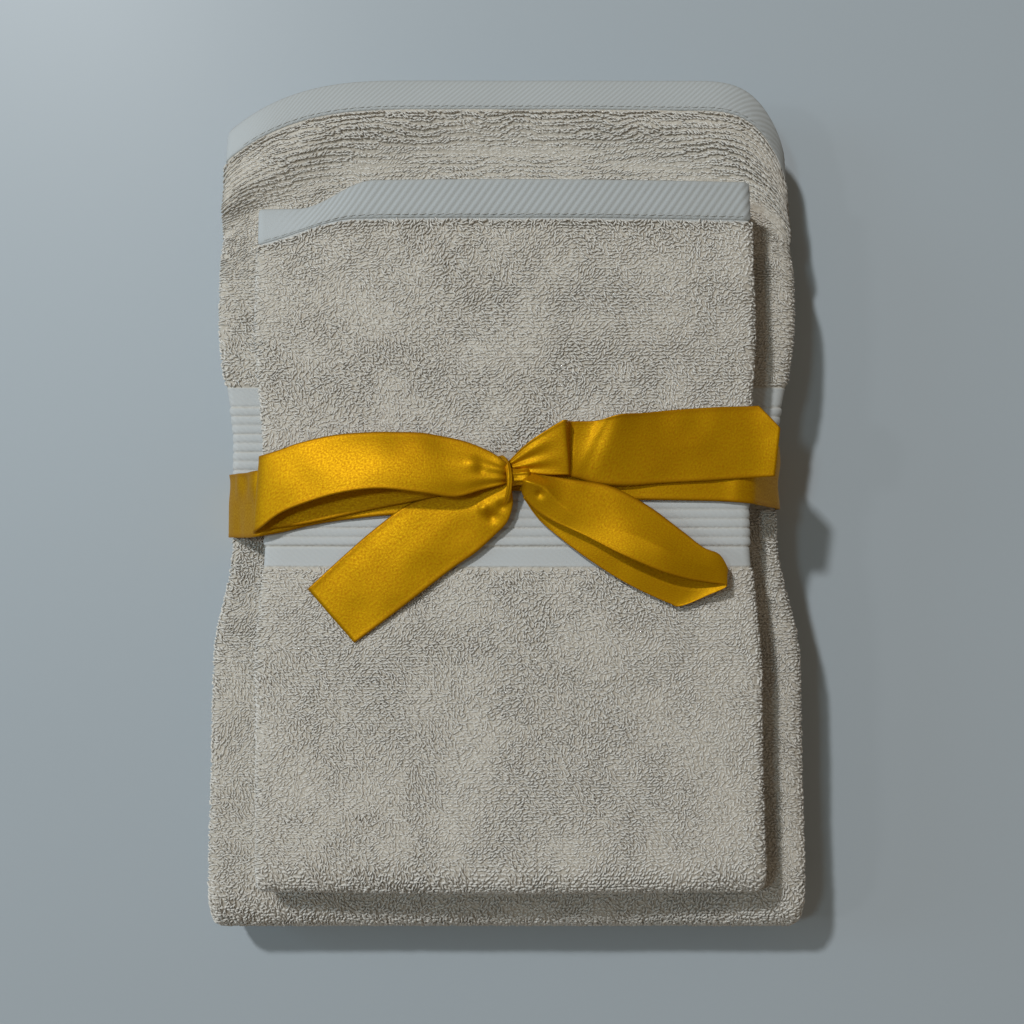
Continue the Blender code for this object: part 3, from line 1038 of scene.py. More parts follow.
    def rowing(self, along: Array, across: Array) -> Array:
        """How far the loops lie in rows across the towel, from 0 to 1."""
        return 0.55 * eased(0.5 + 1.2 * smooth_noise(along, across, 26 * MM, self.seed + 3))

    def outside(self, across: Array) -> Array:
        """Whether places across the cloth are on the centre panel or the folds beside it."""
        return (across > self.section.marks[1]) & (across < self.section.marks[4])

    def stitches(self, half: float) -> Solid:
        """A row of running stitches along the hem, on the outside of the centre panel."""
        pitch = 3.4 * MM
        middle = (self.section.marks[2] + self.section.marks[3]) / 2
        across = np.arange(middle - half, middle + half, pitch)
        full = np.full(across.shape, 1.0)
        return self.yarn(
            full * (self.hem - 1.6 * MM),
            across,
            full * 0.95 * MM,
            full * 0.06,
            full * 2.7 * MM,
            full * 0.2 * MM,
            full * 0.16 * MM,
            full * 0,
            6,
            4,
        )


@dataclass(frozen=True)
class RibbonSizes:
    """The ribbon's sizes, and where the band runs round the bundle.

    Attributes:
        y: Middle of the waist that it draws into the towels.
        reach: Half of the waist's narrowest stretch.
        ease: Length over which the sides come back out.
        width: Width of the ribbon.
        thickness: Its thickness.
        left_y: Middle of the band at the bundle's left side.
        right_y: Middle of the band from the knot to the right.
        knot: The knot's x and y.
    """

    y: float = 5 * MM
    reach: float = 18.5 * MM
    ease: float = 50 * MM
    width: float = 25 * MM
    thickness: float = 0.3 * MM
    left_y: float = 0 * MM
    right_y: float = 10 * MM
    knot: tuple[float, float] = (3.5 * MM, 11 * MM)

    def under_band(self, x: Array, y: Array, out: float) -> Array:
        """Whether places are under the band, whose middle runs straight from side to side."""
        middle = np.interp(x, (-out, self.knot[0]), (self.left_y, self.right_y))
        return np.abs(y - middle) < self.width / 2 - 1.2 * MM


RIBBON = RibbonSizes()


class BathTowel(FoldedTowel):
    """The lower towel: 70 by 140 cm, in three across, then twice in half along its length."""

    @classmethod
    def laid(cls) -> "BathTowel":
        """Takes its sizes from the CAD solid's box: four plies, the outer two round the inner two."""
        low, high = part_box("bath_towel")
        half, top = (high.y - low.y) / 2, high.z
        ply = (top - 3 * GAP) / 4
        pitch = ply + GAP
        outer_y = -half + 1.5 * pitch + ply / 2
        inner_y = half - pitch / 2 - ply / 2
        upper_hem, lower_hem = half - 1 * MM, half - 3 * MM
        side = Track(
            (upper_hem, ply / 2 + 3 * pitch),
            math.pi,
            [
                (upper_hem - outer_y, 0.0),
                (1.5 * math.pi * pitch, math.pi),
                (inner_y - outer_y, 0.0),
                (0.5 * math.pi * pitch, math.pi),
                (inner_y - outer_y, 0.0),
                (0.5 * math.pi * pitch, -math.pi),
                (lower_hem - outer_y, 0.0),
            ],
        )
        return cls(
            name="bath_cloth",
            slot=Slot.BATH,
            side=side,
            ply=ply,
            cloth=2.4 * MM,
            at_fold=239 * MM,
            at_hem=227 * MM,
            waist=217 * MM,
            y_fold=-half,
            y_hem=half,
            flaps=(222 * MM, 216 * MM),
            hem=13 * MM,
            border=(122.5 * MM, 167 * MM),
            cords=8,
            ribs=(2.3 * MM, 1.1),
            seed=11,
        )

    @property
    def top(self) -> float:
        """Height of the folded towel."""
        return 4 * self.ply + 3 * GAP

    def soften(self, points: Array) -> Array:
        """Rounds the hem's corners off, sinks a valley beside the hem and adds soft hollows.

        The corners move towards the fold by the third and fourth power of the way to each side. The
        valley is an eased step down before a line that bends with the square of x, with a low ridge
        of a bell beyond it, and it fades out under the hand towel. The hollows and the waves of the
        sides are value noise, and a bell draws the sides under the band. The corners' slump grows
        with the height, the valley with its square and the hollows with its cube, so the underside
        stays flat.
        """
        x, y, z = columns_of(points)
        up = np.clip(z / self.top, 0, 1)
        near = eased((y - 80 * MM) / (80 * MM))
        left = 18.5 * MM * np.clip((-x - 36 * MM) / (76 * MM), 0, 1.1) ** 3
        right = 25 * MM * np.clip((x - 68 * MM) / (44 * MM), 0, 1.1) ** 4
        slump = near * (left + right) * 0.35 * up
        valley = 145 * MM - x * x * 1.9
        step = 1 - eased((y - valley + 5 * MM) / (16 * MM))
        sunk = 5.0 * MM * step * eased((y - 92 * MM) / (34 * MM))
        sunk = sunk - 1.4 * MM * bump(y, valley + 13 * MM, 7 * MM)
        hollow = 0.55 * MM * smooth_noise(x, y, 30 * MM, 3) - 0.2 * MM
        edge = 3.6 * MM * eased((y - 154 * MM) / (18 * MM))
        drop = slump + sunk * up**2 + (edge - hollow) * up**3
        wave = 0.7 * MM * smooth_noise(y, z, 34 * MM, 4) * np.clip(x / (80 * MM), -1, 1) * up
        wave = wave * (1 - bump(y, 5 * MM, 24 * MM)) - 1.0 * MM * bump(y, 5 * MM, 34 * MM)
        return np.stack((x + wave, y - (left + right) * near, z - drop), axis=-1)

    def rowing(self, along: Array, across: Array) -> Array:
        """Rows show where the cloth bends beside the hem."""
        return np.maximum(super().rowing(along, across), eased((60 * MM - along) / (25 * MM)))

    def build(self, finishes: "Finishes") -> None:
        """Makes the cloth, both hems, the stitches and the loops, hides the CAD solids and attaches
        all of them to the bundle.
        """
        bundle = Body.BUNDLE.value
        length = self.side.length
        cloth = add_piece(
            self.name, self.cloth_solid(4 * MM, length - 4 * MM), finishes.ground
        )
        near_hem = add_piece("bath_hem", self.hem_solid(False, 0.5 * MM), finishes.twill)
        far_hem = add_piece(
            "bath_hem_inner", self.hem_solid(True, 1.2 * MM), finishes.twill
        )
        thread = add_piece(
            "bath_hem_stitches", self.stitches(108 * MM), finishes.thread
        )
        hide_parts("bath_towel")
        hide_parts("bath_hem_thread")
        going = [near_hem, far_hem, thread]
        for patch in self.patches():
            rng = np.random.default_rng(self.seed)
            for number, solid in enumerate(self.terry(patch, rng)):
                going.append(
                    add_piece(f"{patch.name}_{number}", solid, finishes.loops)
                )
        for piece in (cloth, *going):
            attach(piece, bundle)

    def patches(self) -> list[Patch]:
        """Where it shows loops: the top round the hand towel, both end folds, and its sides."""
        marks = self.side.marks
        low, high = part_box("hand_towel")
        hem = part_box("hand_towel_end")[1].y
        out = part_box("ribbon_band")[1].x

        def free(points: Array) -> Array:
            """Not under the band, and off the table."""
            x, y, z = columns_of(points)
            return ~RIBBON.under_band(x, y, out) & (z > 1.5 * MM)

        def top(points: Array, outward: Array, along: Array, across: Array) -> Array:
            """The upper side and the rounded folds at both ends."""
            x, y, z = columns_of(points)
            covered = (np.abs(x) < high.x - 7 * MM) & (y > low.y + 9 * MM) & (y < hem - 5 * MM)
            upper = (along < marks[1]) & ~covered
            ends = (along >= marks[1]) & (along < marks[2]) & (z > 5 * MM)
            ends |= (along >= marks[3]) & (along < marks[4])
            level = (np.abs(outward[:, 0]) < 0.3) & (outward[:, 2] > -0.9)
            return (upper | ends) & level & free(points) & self.outside(across)

        def sides(points: Array, outward: Array, along: Array, across: Array) -> Array:
            """The folds down both sides."""
            return (np.abs(outward[:, 0]) >= 0.3) & free(points)

        return [
            Patch("bath_terry_top", Body.BUNDLE, top, TOP_SPACING, 3),
            Patch("bath_terry_side", Body.BUNDLE, sides, SIDE_SPACING, 2),
        ]

class HandTowel(FoldedTowel):
    """The upper towel: 50 by 80 cm, in three both ways, with its hem end on top."""

    seam: float

    @classmethod
    def laid(cls) -> "HandTowel":
        """Takes its sizes from the boxes of its two CAD solids: three plies."""
        low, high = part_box("hand_towel")
        end_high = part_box("hand_towel_end")[1]
        ply = (high.z - low.z - 2 * GAP) / 3
        pitch = ply + GAP
        outer_y = low.y + pitch + ply / 2
        inner_y = end_high.y - 1.5 * MM - pitch / 2 - ply / 2
        side = Track(
            (end_high.y, low.z + ply / 2 + 2 * pitch),
            math.pi,
            [
                (end_high.y - outer_y, 0.0),
                (math.pi * pitch, math.pi),
                (inner_y - outer_y, 0.0),
                (0.5 * math.pi * pitch, math.pi),
                (inner_y - outer_y, 0.0),
            ],
        )
        towel = cls(
            name="hand_cloth",
            slot=Slot.HAND,
            side=side,
            ply=ply,
            cloth=2.1 * MM,
            at_fold=195 * MM,
            at_hem=190 * MM,
            waist=186 * MM,
            y_fold=low.y,
            y_hem=end_high.y,
            flaps=(152 * MM, 150 * MM),
            hem=15 * MM,
            border=(106 * MM, 146.5 * MM),
            cords=7,
            ribs=(3.05 * MM, 0.75),
            crown=0.2,
            base=low.z,
            seed=23,
        )
        towel.seam = end_high.y - 8 * MM
        return towel

    def soften(self, points: Array) -> Array:
        """Turns the towel a little, lets the hem's left corner slump and adds soft hollows.

        The turn moves x by a small share of y, the corner moves towards the fold and down by eased
        shares of the way to the corner, and the hollows and the waves of the sides are value noise.
        """
        x, y, z = columns_of(points)
        up = np.clip((z - self.base) / (3 * self.ply), 0, 1)
        near = eased((y - 55 * MM) / (60 * MM))
        inside = np.clip((self.y_hem - y) / self.hem, 0, 1)
        steep, gentle = eased((-x - 49 * MM) / (30 * MM)), eased((-x - 56 * MM) / (46 * MM))
        corner = (steep + (gentle - steep) * inside) * near
        hollow = 0.4 * MM * smooth_noise(x, y, 27 * MM, 7) - 0.15 * MM
        z = z - 4.5 * MM * corner * up - 0.8 * MM * eased((y - 110 * MM) / (12 * MM)) * up
        wave = 0.5 * MM * smooth_noise(y, z, 30 * MM, 8) * np.clip(x / (80 * MM), -1, 1)
        x = x - 0.0105 * (y - RIBBON.y) + wave
        return np.stack((x, y - 9.6 * MM * corner, z + hollow * up**3), axis=-1)

    def build(self, finishes: "Finishes") -> None:
        """Makes the cloth in two pieces, which meet under the ribbon, its hem and its loops."""
        length = self.side.length
        bundle = Body.BUNDLE
        root = add_piece(
            self.name, self.cloth_solid(self.seam, length - 1 * MM), finishes.ground
        )
        end = add_piece(
            "hand_cloth_end", self.cloth_solid(4 * MM, self.seam), finishes.ground
        )
        hem = add_piece("hand_hem", self.hem_solid(False, 0.5 * MM), finishes.twill)
        thread = add_piece(
            "hand_hem_stitches", self.stitches(92 * MM), finishes.thread
        )
        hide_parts("hand_towel")
        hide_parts("hand_towel_end")
        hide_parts("hand_hem_thread")
        with_root, with_end = [], [hem, thread]
        for patch in self.patches():
            rng = np.random.default_rng(self.seed)
            for number, solid in enumerate(self.terry(patch, rng)):
                piece = add_piece(f"{patch.name}_{number}", solid, finishes.loops)
                (with_root if patch.body is bundle else with_end).append(piece)
        for piece in (root, *with_root):
            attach(piece, bundle.value)
        hinge = next(j for j in frame["joints"] if j["name"] == "towel_end_lift")["pos_m"]
        start, finish = ((hinge[0], hinge[1] + step, hinge[2]) for step in (-8 * MM, 8 * MM))
        for piece in (end, *with_end):
            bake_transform(piece)

    def patches(self) -> list[Patch]:
        """Where it shows loops: its top, its folded end and its sides, on either side of the seam."""
        marks = self.side.marks
        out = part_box("ribbon_band")[1].x

        def free(points: Array) -> Array:
            """Not under the band."""
            return ~RIBBON.under_band(points[:, 0], points[:, 1], out)

        def level(points: Array, outward: Array, across: Array) -> Array:
            """On the outside, not facing sideways and not under the band."""
            return self.outside(across) & (np.abs(outward[:, 0]) < 0.35) & free(points)

        def top(points: Array, outward: Array, along: Array, across: Array) -> Array:
            """The upper side and the folds at both ends."""
            upper = (along > self.seam) & (along < marks[1])
            ends = (along >= marks[1]) & (along < marks[2]) & (outward[:, 2] > -0.95)
            ends |= (along >= marks[3]) & (along < marks[4])
            return (upper | ends) & level(points, outward, across)

        def end_top(points: Array, outward: Array, along: Array, across: Array) -> Array:
            """The upper side of the loose end."""
            return (along <= self.seam) & level(points, outward, across)

        def sides(points: Array, outward: Array, along: Array, across: Array) -> Array:
            """The folds down both sides."""
            return (along > self.seam) & (np.abs(outward[:, 0]) >= 0.35) & free(points)

        def end_sides(points: Array, outward: Array, along: Array, across: Array) -> Array:
            """The folds down both sides of the loose end."""
            return (along <= self.seam) & (np.abs(outward[:, 0]) >= 0.35) & free(points)

        return [
            Patch("hand_terry_top", Body.BUNDLE, top, TOP_SPACING, 3),
            Patch("hand_terry_side", Body.BUNDLE, sides, SIDE_SPACING, 1),
            Patch("hand_terry_end", Body.TOWEL_END, end_top, TOP_SPACING, 2),
            Patch("hand_terry_end_side", Body.TOWEL_END, end_sides, SIDE_SPACING, 1),
        ]


# ------------------------------------------------------------------------------------------ ribbon


def surface(x: Array) -> Array:
    """Height of the hand towel's upper side at x: a parabola, level beyond its sides."""
    low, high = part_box("hand_towel")
    share = np.clip(x / (93 * MM), -1, 1)
    return low.z + (high.z - low.z) * (1 - 0.2 * share * share)


@dataclass(frozen=True)
class RibbonStrip:
    """A stretch of ribbon as a ruled surface with a soft crease along it.

    Attributes:
        name: Name of the piece.
        stations: For each place along it, in millimetres: one edge's x, y and height over the hand
            towel, the other edge's, the share across where it creases, how far the crease stands
            over the straight line between the edges, and the depth of its gathers.
        crease: 0 for a smooth bow across the ribbon, 1 for a sharp crease.
        gathers: Number of gathers across it.
        clip: Length and depth of a corner cut off the first edge at the free end.
        dimples: Dents and bumps, in millimetres: x, y, radius and height.
        steps: Rows between two stations.
        columns: Points across the ribbon.
        seed: Seed of its noise.
        dimpled_from: Share of its length after which it has them.
    """

    name: str
    stations: tuple[tuple[float, ...], ...]
    crease: float = 0.3
    gathers: float = 3.0
    clip: tuple[float, float] = (0.0, 0.0)
    dimples: tuple[tuple[float, float, float, float], ...] = ()
    steps: int = 12
    columns: int = 37
    seed: int = 1
    dimpled_from: float = 0.0

    def grid(self) -> Array:
        """The middle surface.

        A Catmull-Rom curve carries the two edges and the crease. Between them the surface is a mix
        of the parabola through all three and the two straight lines. Gathers are a sine across the
        ribbon on its normal, and slight waves are value noise.

        Returns:
            Points, rows x columns x 3.
        """
        table = np.array(self.stations, float)
        first, second, share, lift, depth = (
            table[:, 0:3],
            table[:, 3:6],
            table[:, 6:7],
            table[:, 7],
            table[:, 8],
        )
        ridge = first + (second - first) * share
        ridge[:, 2] += lift
        control = np.stack((first, ridge, second), axis=1) * MM
        control[..., 2] += surface(control[..., 0])
        flat = np.concatenate((control.reshape(len(table), 9), depth[:, None] * MM), axis=1)
        curve = spline(flat, self.steps)
        control, depth = curve[:, :9].reshape(-1, 3, 3), curve[:, 9]
        v = np.linspace(0, 1, self.columns)[None, :, None]
        a, m, b = (control[:, None, place] for place in range(3))
        round_one = a * (1 - v) * (1 - 2 * v) + m * 4 * v * (1 - v) + b * v * (2 * v - 1)
        straight = np.where(v < 0.5, a + (m - a) * 2 * v, m + (b - m) * (2 * v - 1))
        grid = round_one * (1 - self.crease) + straight * self.crease
        normal = grid_normals(grid)
        row = np.linspace(0, 1, len(grid))[:, None]
        wave = np.sin(2 * np.pi * self.gathers * v[..., 0] + 1.3 * np.sin(5 * row) + self.seed)
        fold = depth[:, None] * wave * (1 - (2 * v[..., 0] - 1) ** 6)
        x, y = grid[..., 0], grid[..., 1]
        slight = 0.22 * MM * smooth_noise(x, y, 8 * MM, self.seed)
        slight += 0.35 * MM * smooth_noise(x, y, 19 * MM, self.seed + 1)
        grid = grid + normal * (fold + slight)[..., None]
        upper = np.arange(len(grid))[:, None] > len(grid) * self.dimpled_from
        for place_x, place_y, radius, height in np.array(self.dimples).reshape(-1, 4) * MM:
            away = np.hypot(x - place_x, y - place_y)
            grid[..., 2] += height * bump(away, 0.0, radius) * upper
        if self.clip[0]:
            grid = self.clipped(grid)
        return grid

    def clipped(self, grid: Array) -> Array:
        """Cuts the first edge's free corner: rows near the end start further across."""
        along = np.linalg.norm(np.diff(grid[:, 0], axis=0), axis=1)
        left = np.concatenate((np.cumsum(along[::-1])[::-1], [0.0]))
        cut = np.clip(1 - left / self.clip[0], 0, 1) * self.clip[1] / RIBBON.width
        v = np.linspace(0, 1, self.columns)
        place = (cut[:, None] + (1 - cut[:, None]) * v) * (self.columns - 1)
        low = np.minimum(place.astype(int), self.columns - 2)
        share = (place - low)[..., None]
        rows = np.arange(len(grid))[:, None]
        return grid[rows, low] * (1 - share) + grid[rows, low + 1] * share

    def build(self, finish: bpy.types.Material) -> tuple[bpy.types.Object, float]:
        """Makes the piece.

        Returns:
            The piece and its length.
        """
        return ribbon_piece(self.name, self.grid(), finish)


def ribbon_piece(
    name: str, grid: Array, finish: bpy.types.Material
) -> tuple[bpy.types.Object, float]:
    """A strip of ribbon round a grid, thicker at its two woven edges, with a map along it.

    Args:
        name: Name of the piece.
        grid: Its middle surface, rows along the ribbon.
        finish: The satin.

    Returns:
        The piece and its length, averaged over its width.
    """
    normal = grid_normals(grid)
    columns = grid.shape[1]
    v = np.linspace(0, 1, columns)
    edge = bump(v, 0.02, 0.03) + bump(v, 0.98, 0.03)
    half = (RIBBON.thickness / 2 * (1 + 0.9 * edge))[None, :, None]
    solid = shell(grid + normal * half, grid - normal * half)
    steps = np.linalg.norm(np.diff(grid, axis=0), axis=-1).mean(axis=1)
    along = np.concatenate(([0.0], np.cumsum(steps)))
    tone = np.tile(np.concatenate((edge, edge[::-1])), len(grid))
    solid.tone = np.clip(tone, 0, 1) * 0.6
    piece = add_piece(name, solid, finish)
    both = np.concatenate((v, v[::-1])) * RIBBON.width
    where = np.stack(np.broadcast_arrays(along[:, None], both[None, :]), axis=-1).reshape(-1, 2)
    corners = np.zeros(len(piece.data.loops), np.int32)
    piece.data.loops.foreach_get("vertex_index", corners)
    layer = piece.data.uv_layers.new(name=CLOTH_MAP)
    layer.data.foreach_set("uv", where[corners].astype(np.float32).ravel())
    return piece, float(along[-1])


@dataclass
class Bow:
    """The ribbon: a band round the bundle, a knot, two loops and two tails."""

    left_loop: RibbonStrip = RibbonStrip(
        "ribbon_left_loop",
        (
            (-1, 14, 3.2, -1, 8, 3.0, 0.5, 0.5, 0.4),
            (-12, 18, 3.0, -12, 7, 2.8, 0.5, 0.3, 0.3),
            (-30, 21, 2.8, -30, 3, 2.6, 0.5, 0, 0.2),
            (-54, 23, 2.4, -54, -1.8, 2.3, 0.5, -0.2, 0),
            (-72, 21, 2.2, -74, -6.2, 2.2, 0.5, 0, 0),
            (-86, 19.5, 2.2, -88, -8.5, 2.2, 0.5, 0, 0),
            (-91.5, 19, 3.6, -94, -10.2, 3.4, 0.5, 0, 0),
            (-92.5, 18.9, 5.4, -95, -9.6, 5.6, 0.5, 0, 0),
            (-90, 19.5, 7.2, -92, -8, 8.0, 0.5, 0.5, 0),
            (-84, 21.2, 8.0, -84.5, -2.8, 10.0, 0.5, 0.9, 0),
            (-76, 23.8, 8.6, -76, 0.8, 12.0, 0.5, 0.4, 0),
            (-62, 26.8, 8.2, -62, 4.8, 13.6, 0.5, 1.2, 0),
            (-47, 27.5, 7.6, -47, 6.6, 14.0, 0.5, 1.8, 0),
            (-30, 27, 7.0, -30.5, 5.0, 12.6, 0.5, 1.9, 0),
            (-16.4, 24.4, 6.6, -19, 3.6, 10.4, 0.52, 1.8, 0.08),
            (-6.5, 20.4, 7.0, -9, 6.2, 8.8, 0.5, 1.6, 0.2),
            (-1.6, 17.2, 7.6, -2.6, 7.8, 8.2, 0.5, 1.2, 0.3),
            (0.9, 15.4, 6.0, 0.2, 8.6, 6.6, 0.5, 0.6, 0.35),
        ),
        crease=0.15,
        dimples=((-12.5, 16.4, 2.2, 0.7), (-9.5, 13.5, 1.6, -0.5)),
        dimpled_from=0.5,
        seed=5,
    )
    left_tail: RibbonStrip = RibbonStrip(
        "ribbon_left_tail",
        (
            (0.6, 10.4, 4.8, 1.7, 6.0, 5.0, 0.5, 1.2, 0.2),
            (-1.5, 9.4, 4.4, 2.0, 0.6, 4.6, 0.5, 2.0, 0.3),
            (-6.5, 8.0, 3.4, 0.2, -5.6, 3.6, 0.42, 1.8, 0.25),
            (-13, 6.4, 2.4, -4.6, -10.8, 2.6, 0.4, 1.4, 0.1),
            (-24, 4.4, 1.9, -11.6, -17.2, 2.2, 0.4, 1.0, 0),
            (-36.5, 1.0, 1.9, -19.8, -22.8, 1.9, 0.5, 0.8, 0),
            (-49.4, -8.2, 1.8, -31.6, -31.8, 1.8, 0.5, 0.9, 0),
            (-62.4, -19.4, 1.6, -44.6, -41.8, 1.5, 0.5, 0.5, 0),
            (-75, -31, 1.5, -57.2, -51.2, 1.4, 0.5, 0.2, 0),
        ),
        crease=0.1,
        gathers=2.0,
        dimples=((-8.6, -0.6, 1.9, 1.1), (-5.4, -3.6, 2.2, -1.3), (-1.8, 0.2, 1.8, -1.0)),
        seed=6,
    )
    right_tail: RibbonStrip = RibbonStrip(
        "ribbon_right_tail",
        (
            (0.6, 17.0, 4.6, 2.6, 13.2, 4.4, 0.5, 0.4, 0.35),
            (7.8, 23.6, 7.0, 8.2, 12.6, 5.0, 0.6, 0.5, 0.4),
            (15.6, 28.8, 9.4, 15.4, 11.9, 6.0, 0.6, 0.2, 0.15),
            (20.4, 31.6, 11.4, 22.0, 11.9, 7.0, 0.6, 0.2, 0),
            (22.0, 31.9, 10.0, 22.8, 11.7, 6.4, 0.6, 0.1, 0),
            (23.2, 31.8, 5.2, 23.3, 11.5, 5.2, 0.6, -0.6, 0),
            (26.4, 31.8, 4.4, 23.9, 11.3, 4.8, 0.5, -0.2, 0),
            (33.0, 32.0, 4.6, 25.0, 11.0, 4.5, 0.5, 0, 0),
            (37.6, 33.0, 7.4, 27.8, 10.2, 4.1, 0.34, -0.9, 0),
            (42.6, 34.2, 8.2, 33.6, 8.4, 3.7, 0.4, -0.2, 0),
            (51.5, 35.0, 5.2, 45.0, 7.8, 3.0, 0.4, 0.5, 0),
            (62.0, 36.2, 3.2, 59.0, 8.8, 2.4, 0.5, 0.6, 0),
            (77.7, 37.4, 2.2, 76, 9.8, 2.1, 0.5, 0.6, 0),
            (92, 38, 1.9, 91, 10.8, 1.9, 0.5, 0.5, 0),
            (104.2, 38.6, 2.6, 101.2, 11.5, 2.1, 0.5, 0.4, 0),
        ),
        crease=0.35,
        gathers=2.5,
        clip=(9.0 * MM, 8.2 * MM),
        seed=7,
    )
    right_loop: RibbonStrip = RibbonStrip(
        "ribbon_right_loop",
        (
            (7.5, 9.5, 3.0, 6.2, 3.4, 2.8, 0.5, 0.3, 0.5),
            (15, 5.0, 2.8, 12.2, -5.0, 2.2, 0.5, 0.2, 0.4),
            (27, 0.5, 2.6, 21.8, -13.2, 2.0, 0.5, 0.4, 0.15),
            (44, -5.4, 2.4, 31.4, -20.2, 2.0, 0.6, 0.9, 0),
            (56, -10.4, 2.2, 42.0, -27.0, 2.0, 0.7, 1.2, 0),
            (69, -15.4, 2.2, 52.4, -32.4, 2.0, 0.72, 1.3, 0),
            (77, -18.4, 2.4, 61.0, -36.2, 2.1, 0.7, 0.9, 0),
            (81.0, -22.4, 3.2, 65.2, -37.4, 2.6, 0.6, 0.5, 0),
            (82.6, -25.4, 4.6, 75.0, -33.4, 4.4, 0.5, 0.2, 0),
            (82.4, -22.6, 6.4, 82.4, -29.6, 6.6, 0.5, 0.2, 0),
            (79.0, -17.6, 8.0, 75.4, -28.2, 8.0, 0.5, 0.5, 0),
            (73.0, -15.0, 8.4, 67.0, -26.7, 9.6, 0.5, 1.0, 0),
            (65.4, -9.2, 7.4, 56.0, -23.4, 11.2, 0.55, 1.8, 0),
            (52.4, 0.4, 5.8, 42.0, -17.4, 11.4, 0.6, 1.4, 0),
            (38.4, 7.6, 5.0, 29.2, -10.8, 8.6, 0.78, 0.8, 0),
            (24.2, 10.0, 5.0, 18.4, -5.8, 6.4, 0.62, 2.6, 0),
            (15.2, 11.4, 4.8, 11.2, -1.4, 5.4, 0.36, 4.6, 0),
            (8.6, 12.6, 4.8, 6.6, 4.0, 5.2, 0.4, 5.2, 0.1),
            (6.2, 12.8, 4.4, 5.8, 6.4, 4.4, 0.5, 3.2, 0.1),
        ),
        crease=0.85,
        gathers=2.0,
        dimples=((12.4, 5.0, 1.5, -1.3),),
        dimpled_from=0.5,
        seed=9,
    )

    def band_grid(self) -> Array:
        """The band: a path in x and z with rounded corners, spread along y.

        The path runs down the right side from the knot, under the bundle and up the left side. Its
        corners are rounded by averaging over a few steps, its middle wanders in y, and slight waves
        are value noise on its normal.

        Returns:
            Points, rows x columns x 3.
        """
        low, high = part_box("ribbon_band")
        half = (high.x - low.x) / 2 - 0.8 * MM
        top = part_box("bath_towel")[1].z
        crown = np.linspace(-1.5 * MM, 88 * MM, 12)
        offset = 0.6 * MM
        right = [(x, float(surface(x)) + offset) for x in crown]
        right += [(94 * MM, float(surface(93 * MM)) - 1 * MM), (half - 2.4 * MM, top + 0.2 * MM)]
        right += [(half, top * 0.8), (half, top / 4), (half - 0.3 * MM, 1.0 * MM)]
        right = np.array(right + [(half - 3 * MM, low.z)])
        left = right[::-1] * (-1, 1)
        ring = np.concatenate((right, [(0.0, low.z)], left))
        ring[:, 0] -= 0.9 * MM * eased(np.abs(ring[:, 0]) / (100 * MM))
        ring[:, 1] = np.maximum(ring[:, 1], low.z + 0.2 * MM)
        steps = np.concatenate(([0], np.cumsum(np.linalg.norm(np.diff(ring, axis=0), axis=1))))
        fine = np.arange(0, steps[-1], 0.8 * MM)
        path = np.column_stack([np.interp(fine, steps, ring[:, place]) for place in (0, 1)])
        kernel = np.hanning(9)
        kernel /= kernel.sum()
        edge = np.pad(path, ((4, 4), (0, 0)), mode="edge")
        path = np.column_stack([np.convolve(edge[:, p], kernel, "valid") for p in (0, 1)])
        x, z = path[:, 0], path[:, 1]
        places = np.array((-110, -93, -70, -44, 3, 45, 85, 110)) * MM
        middles = np.array((0.3, 0.8, 6.5, 9.6, 10.5, 15.2, 14.6, 11.2)) * MM
        over = np.interp(x, places, middles)
        under = np.interp(x, (-half, half), (0.3 * MM, 11.2 * MM))
        middle = np.where(z > top / 2, over, under)
        middle = np.convolve(np.pad(middle, 12, mode="edge"), np.ones(25) / 25, "valid")
        v = np.linspace(-0.5, 0.5, 29)[None, :]
        width = RIBBON.width * (1 - 0.62 * bump(x, 2 * MM, 17 * MM) * (z > top / 2))
        y = middle[:, None] + v * width[:, None]
        grid = np.stack(np.broadcast_arrays(x[:, None], y, z[:, None]), axis=-1)
        normal = grid_normals(grid)
        away = 0.4 * MM * (1 + smooth_noise(grid[..., 0] + grid[..., 2], grid[..., 1], 9 * MM, 32))
        side = eased((np.abs(x) - 80 * MM) / (12 * MM)) * (z > top * 0.7)
        away = away * (0.3 + 1.6 * side[:, None]) * (z[:, None] > 4 * MM)
        flip = np.sign((normal[..., 2] * np.sign(grid[..., 2] - top / 2)).mean())
        return grid + normal * flip * away[..., None]

    def knot_solid(self) -> Solid:
        """The knot: a gathered tube across and a narrow arch round it.

        The tube's section is an ellipse with seven shallow grooves and thirteen finer ones. It
        narrows in its middle by a bell, and closes round at both ends as the root of 1.02 minus the
        sixth power of the way there. The arch is a little over half an ellipse in y and z with a
        flat bar section, and it leans with the height.

        Returns:
            Both as one solid.
        """
        x0, y0 = RIBBON.knot
        ground = float(surface(x0))
        angle = np.linspace(0, np.pi, 33)[None, :]
        share = np.sin(np.linspace(-0.5, 0.5, 35) * np.pi)[:, None]
        x = (1.2 + 4.4 * share) * MM
        waist = (1 - 0.16 * bump(x, 0.6 * MM, 2.6 * MM)) * (1.02 - share**6) ** 0.5

        def tube(turn: Array) -> Array:
            """Points of the tube at an angle round it."""
            grooves = 1 + 0.09 * np.sin(7 * turn + 260 * x) + 0.04 * np.sin(13 * turn)
            y = y0 + 3.3 * MM * waist * grooves * np.cos(turn)
            z = ground + 4.8 * MM + 3.1 * MM * waist * grooves * np.sin(turn)
            return np.stack(np.broadcast_arrays(x + x0, y, z), axis=-1)

        bridge = shell(tube(angle), tube(-angle))
        turn = np.linspace(-0.35, np.pi + 0.35, 49)[:, None]
        wide = np.linspace(-1, 1, 21)[None, :]
        lean = x0 - 5.6 * MM + 3.2 * MM * np.sin(turn)
        pleat = 0.1 * MM * np.sin(wide * 5 + 2 * turn)

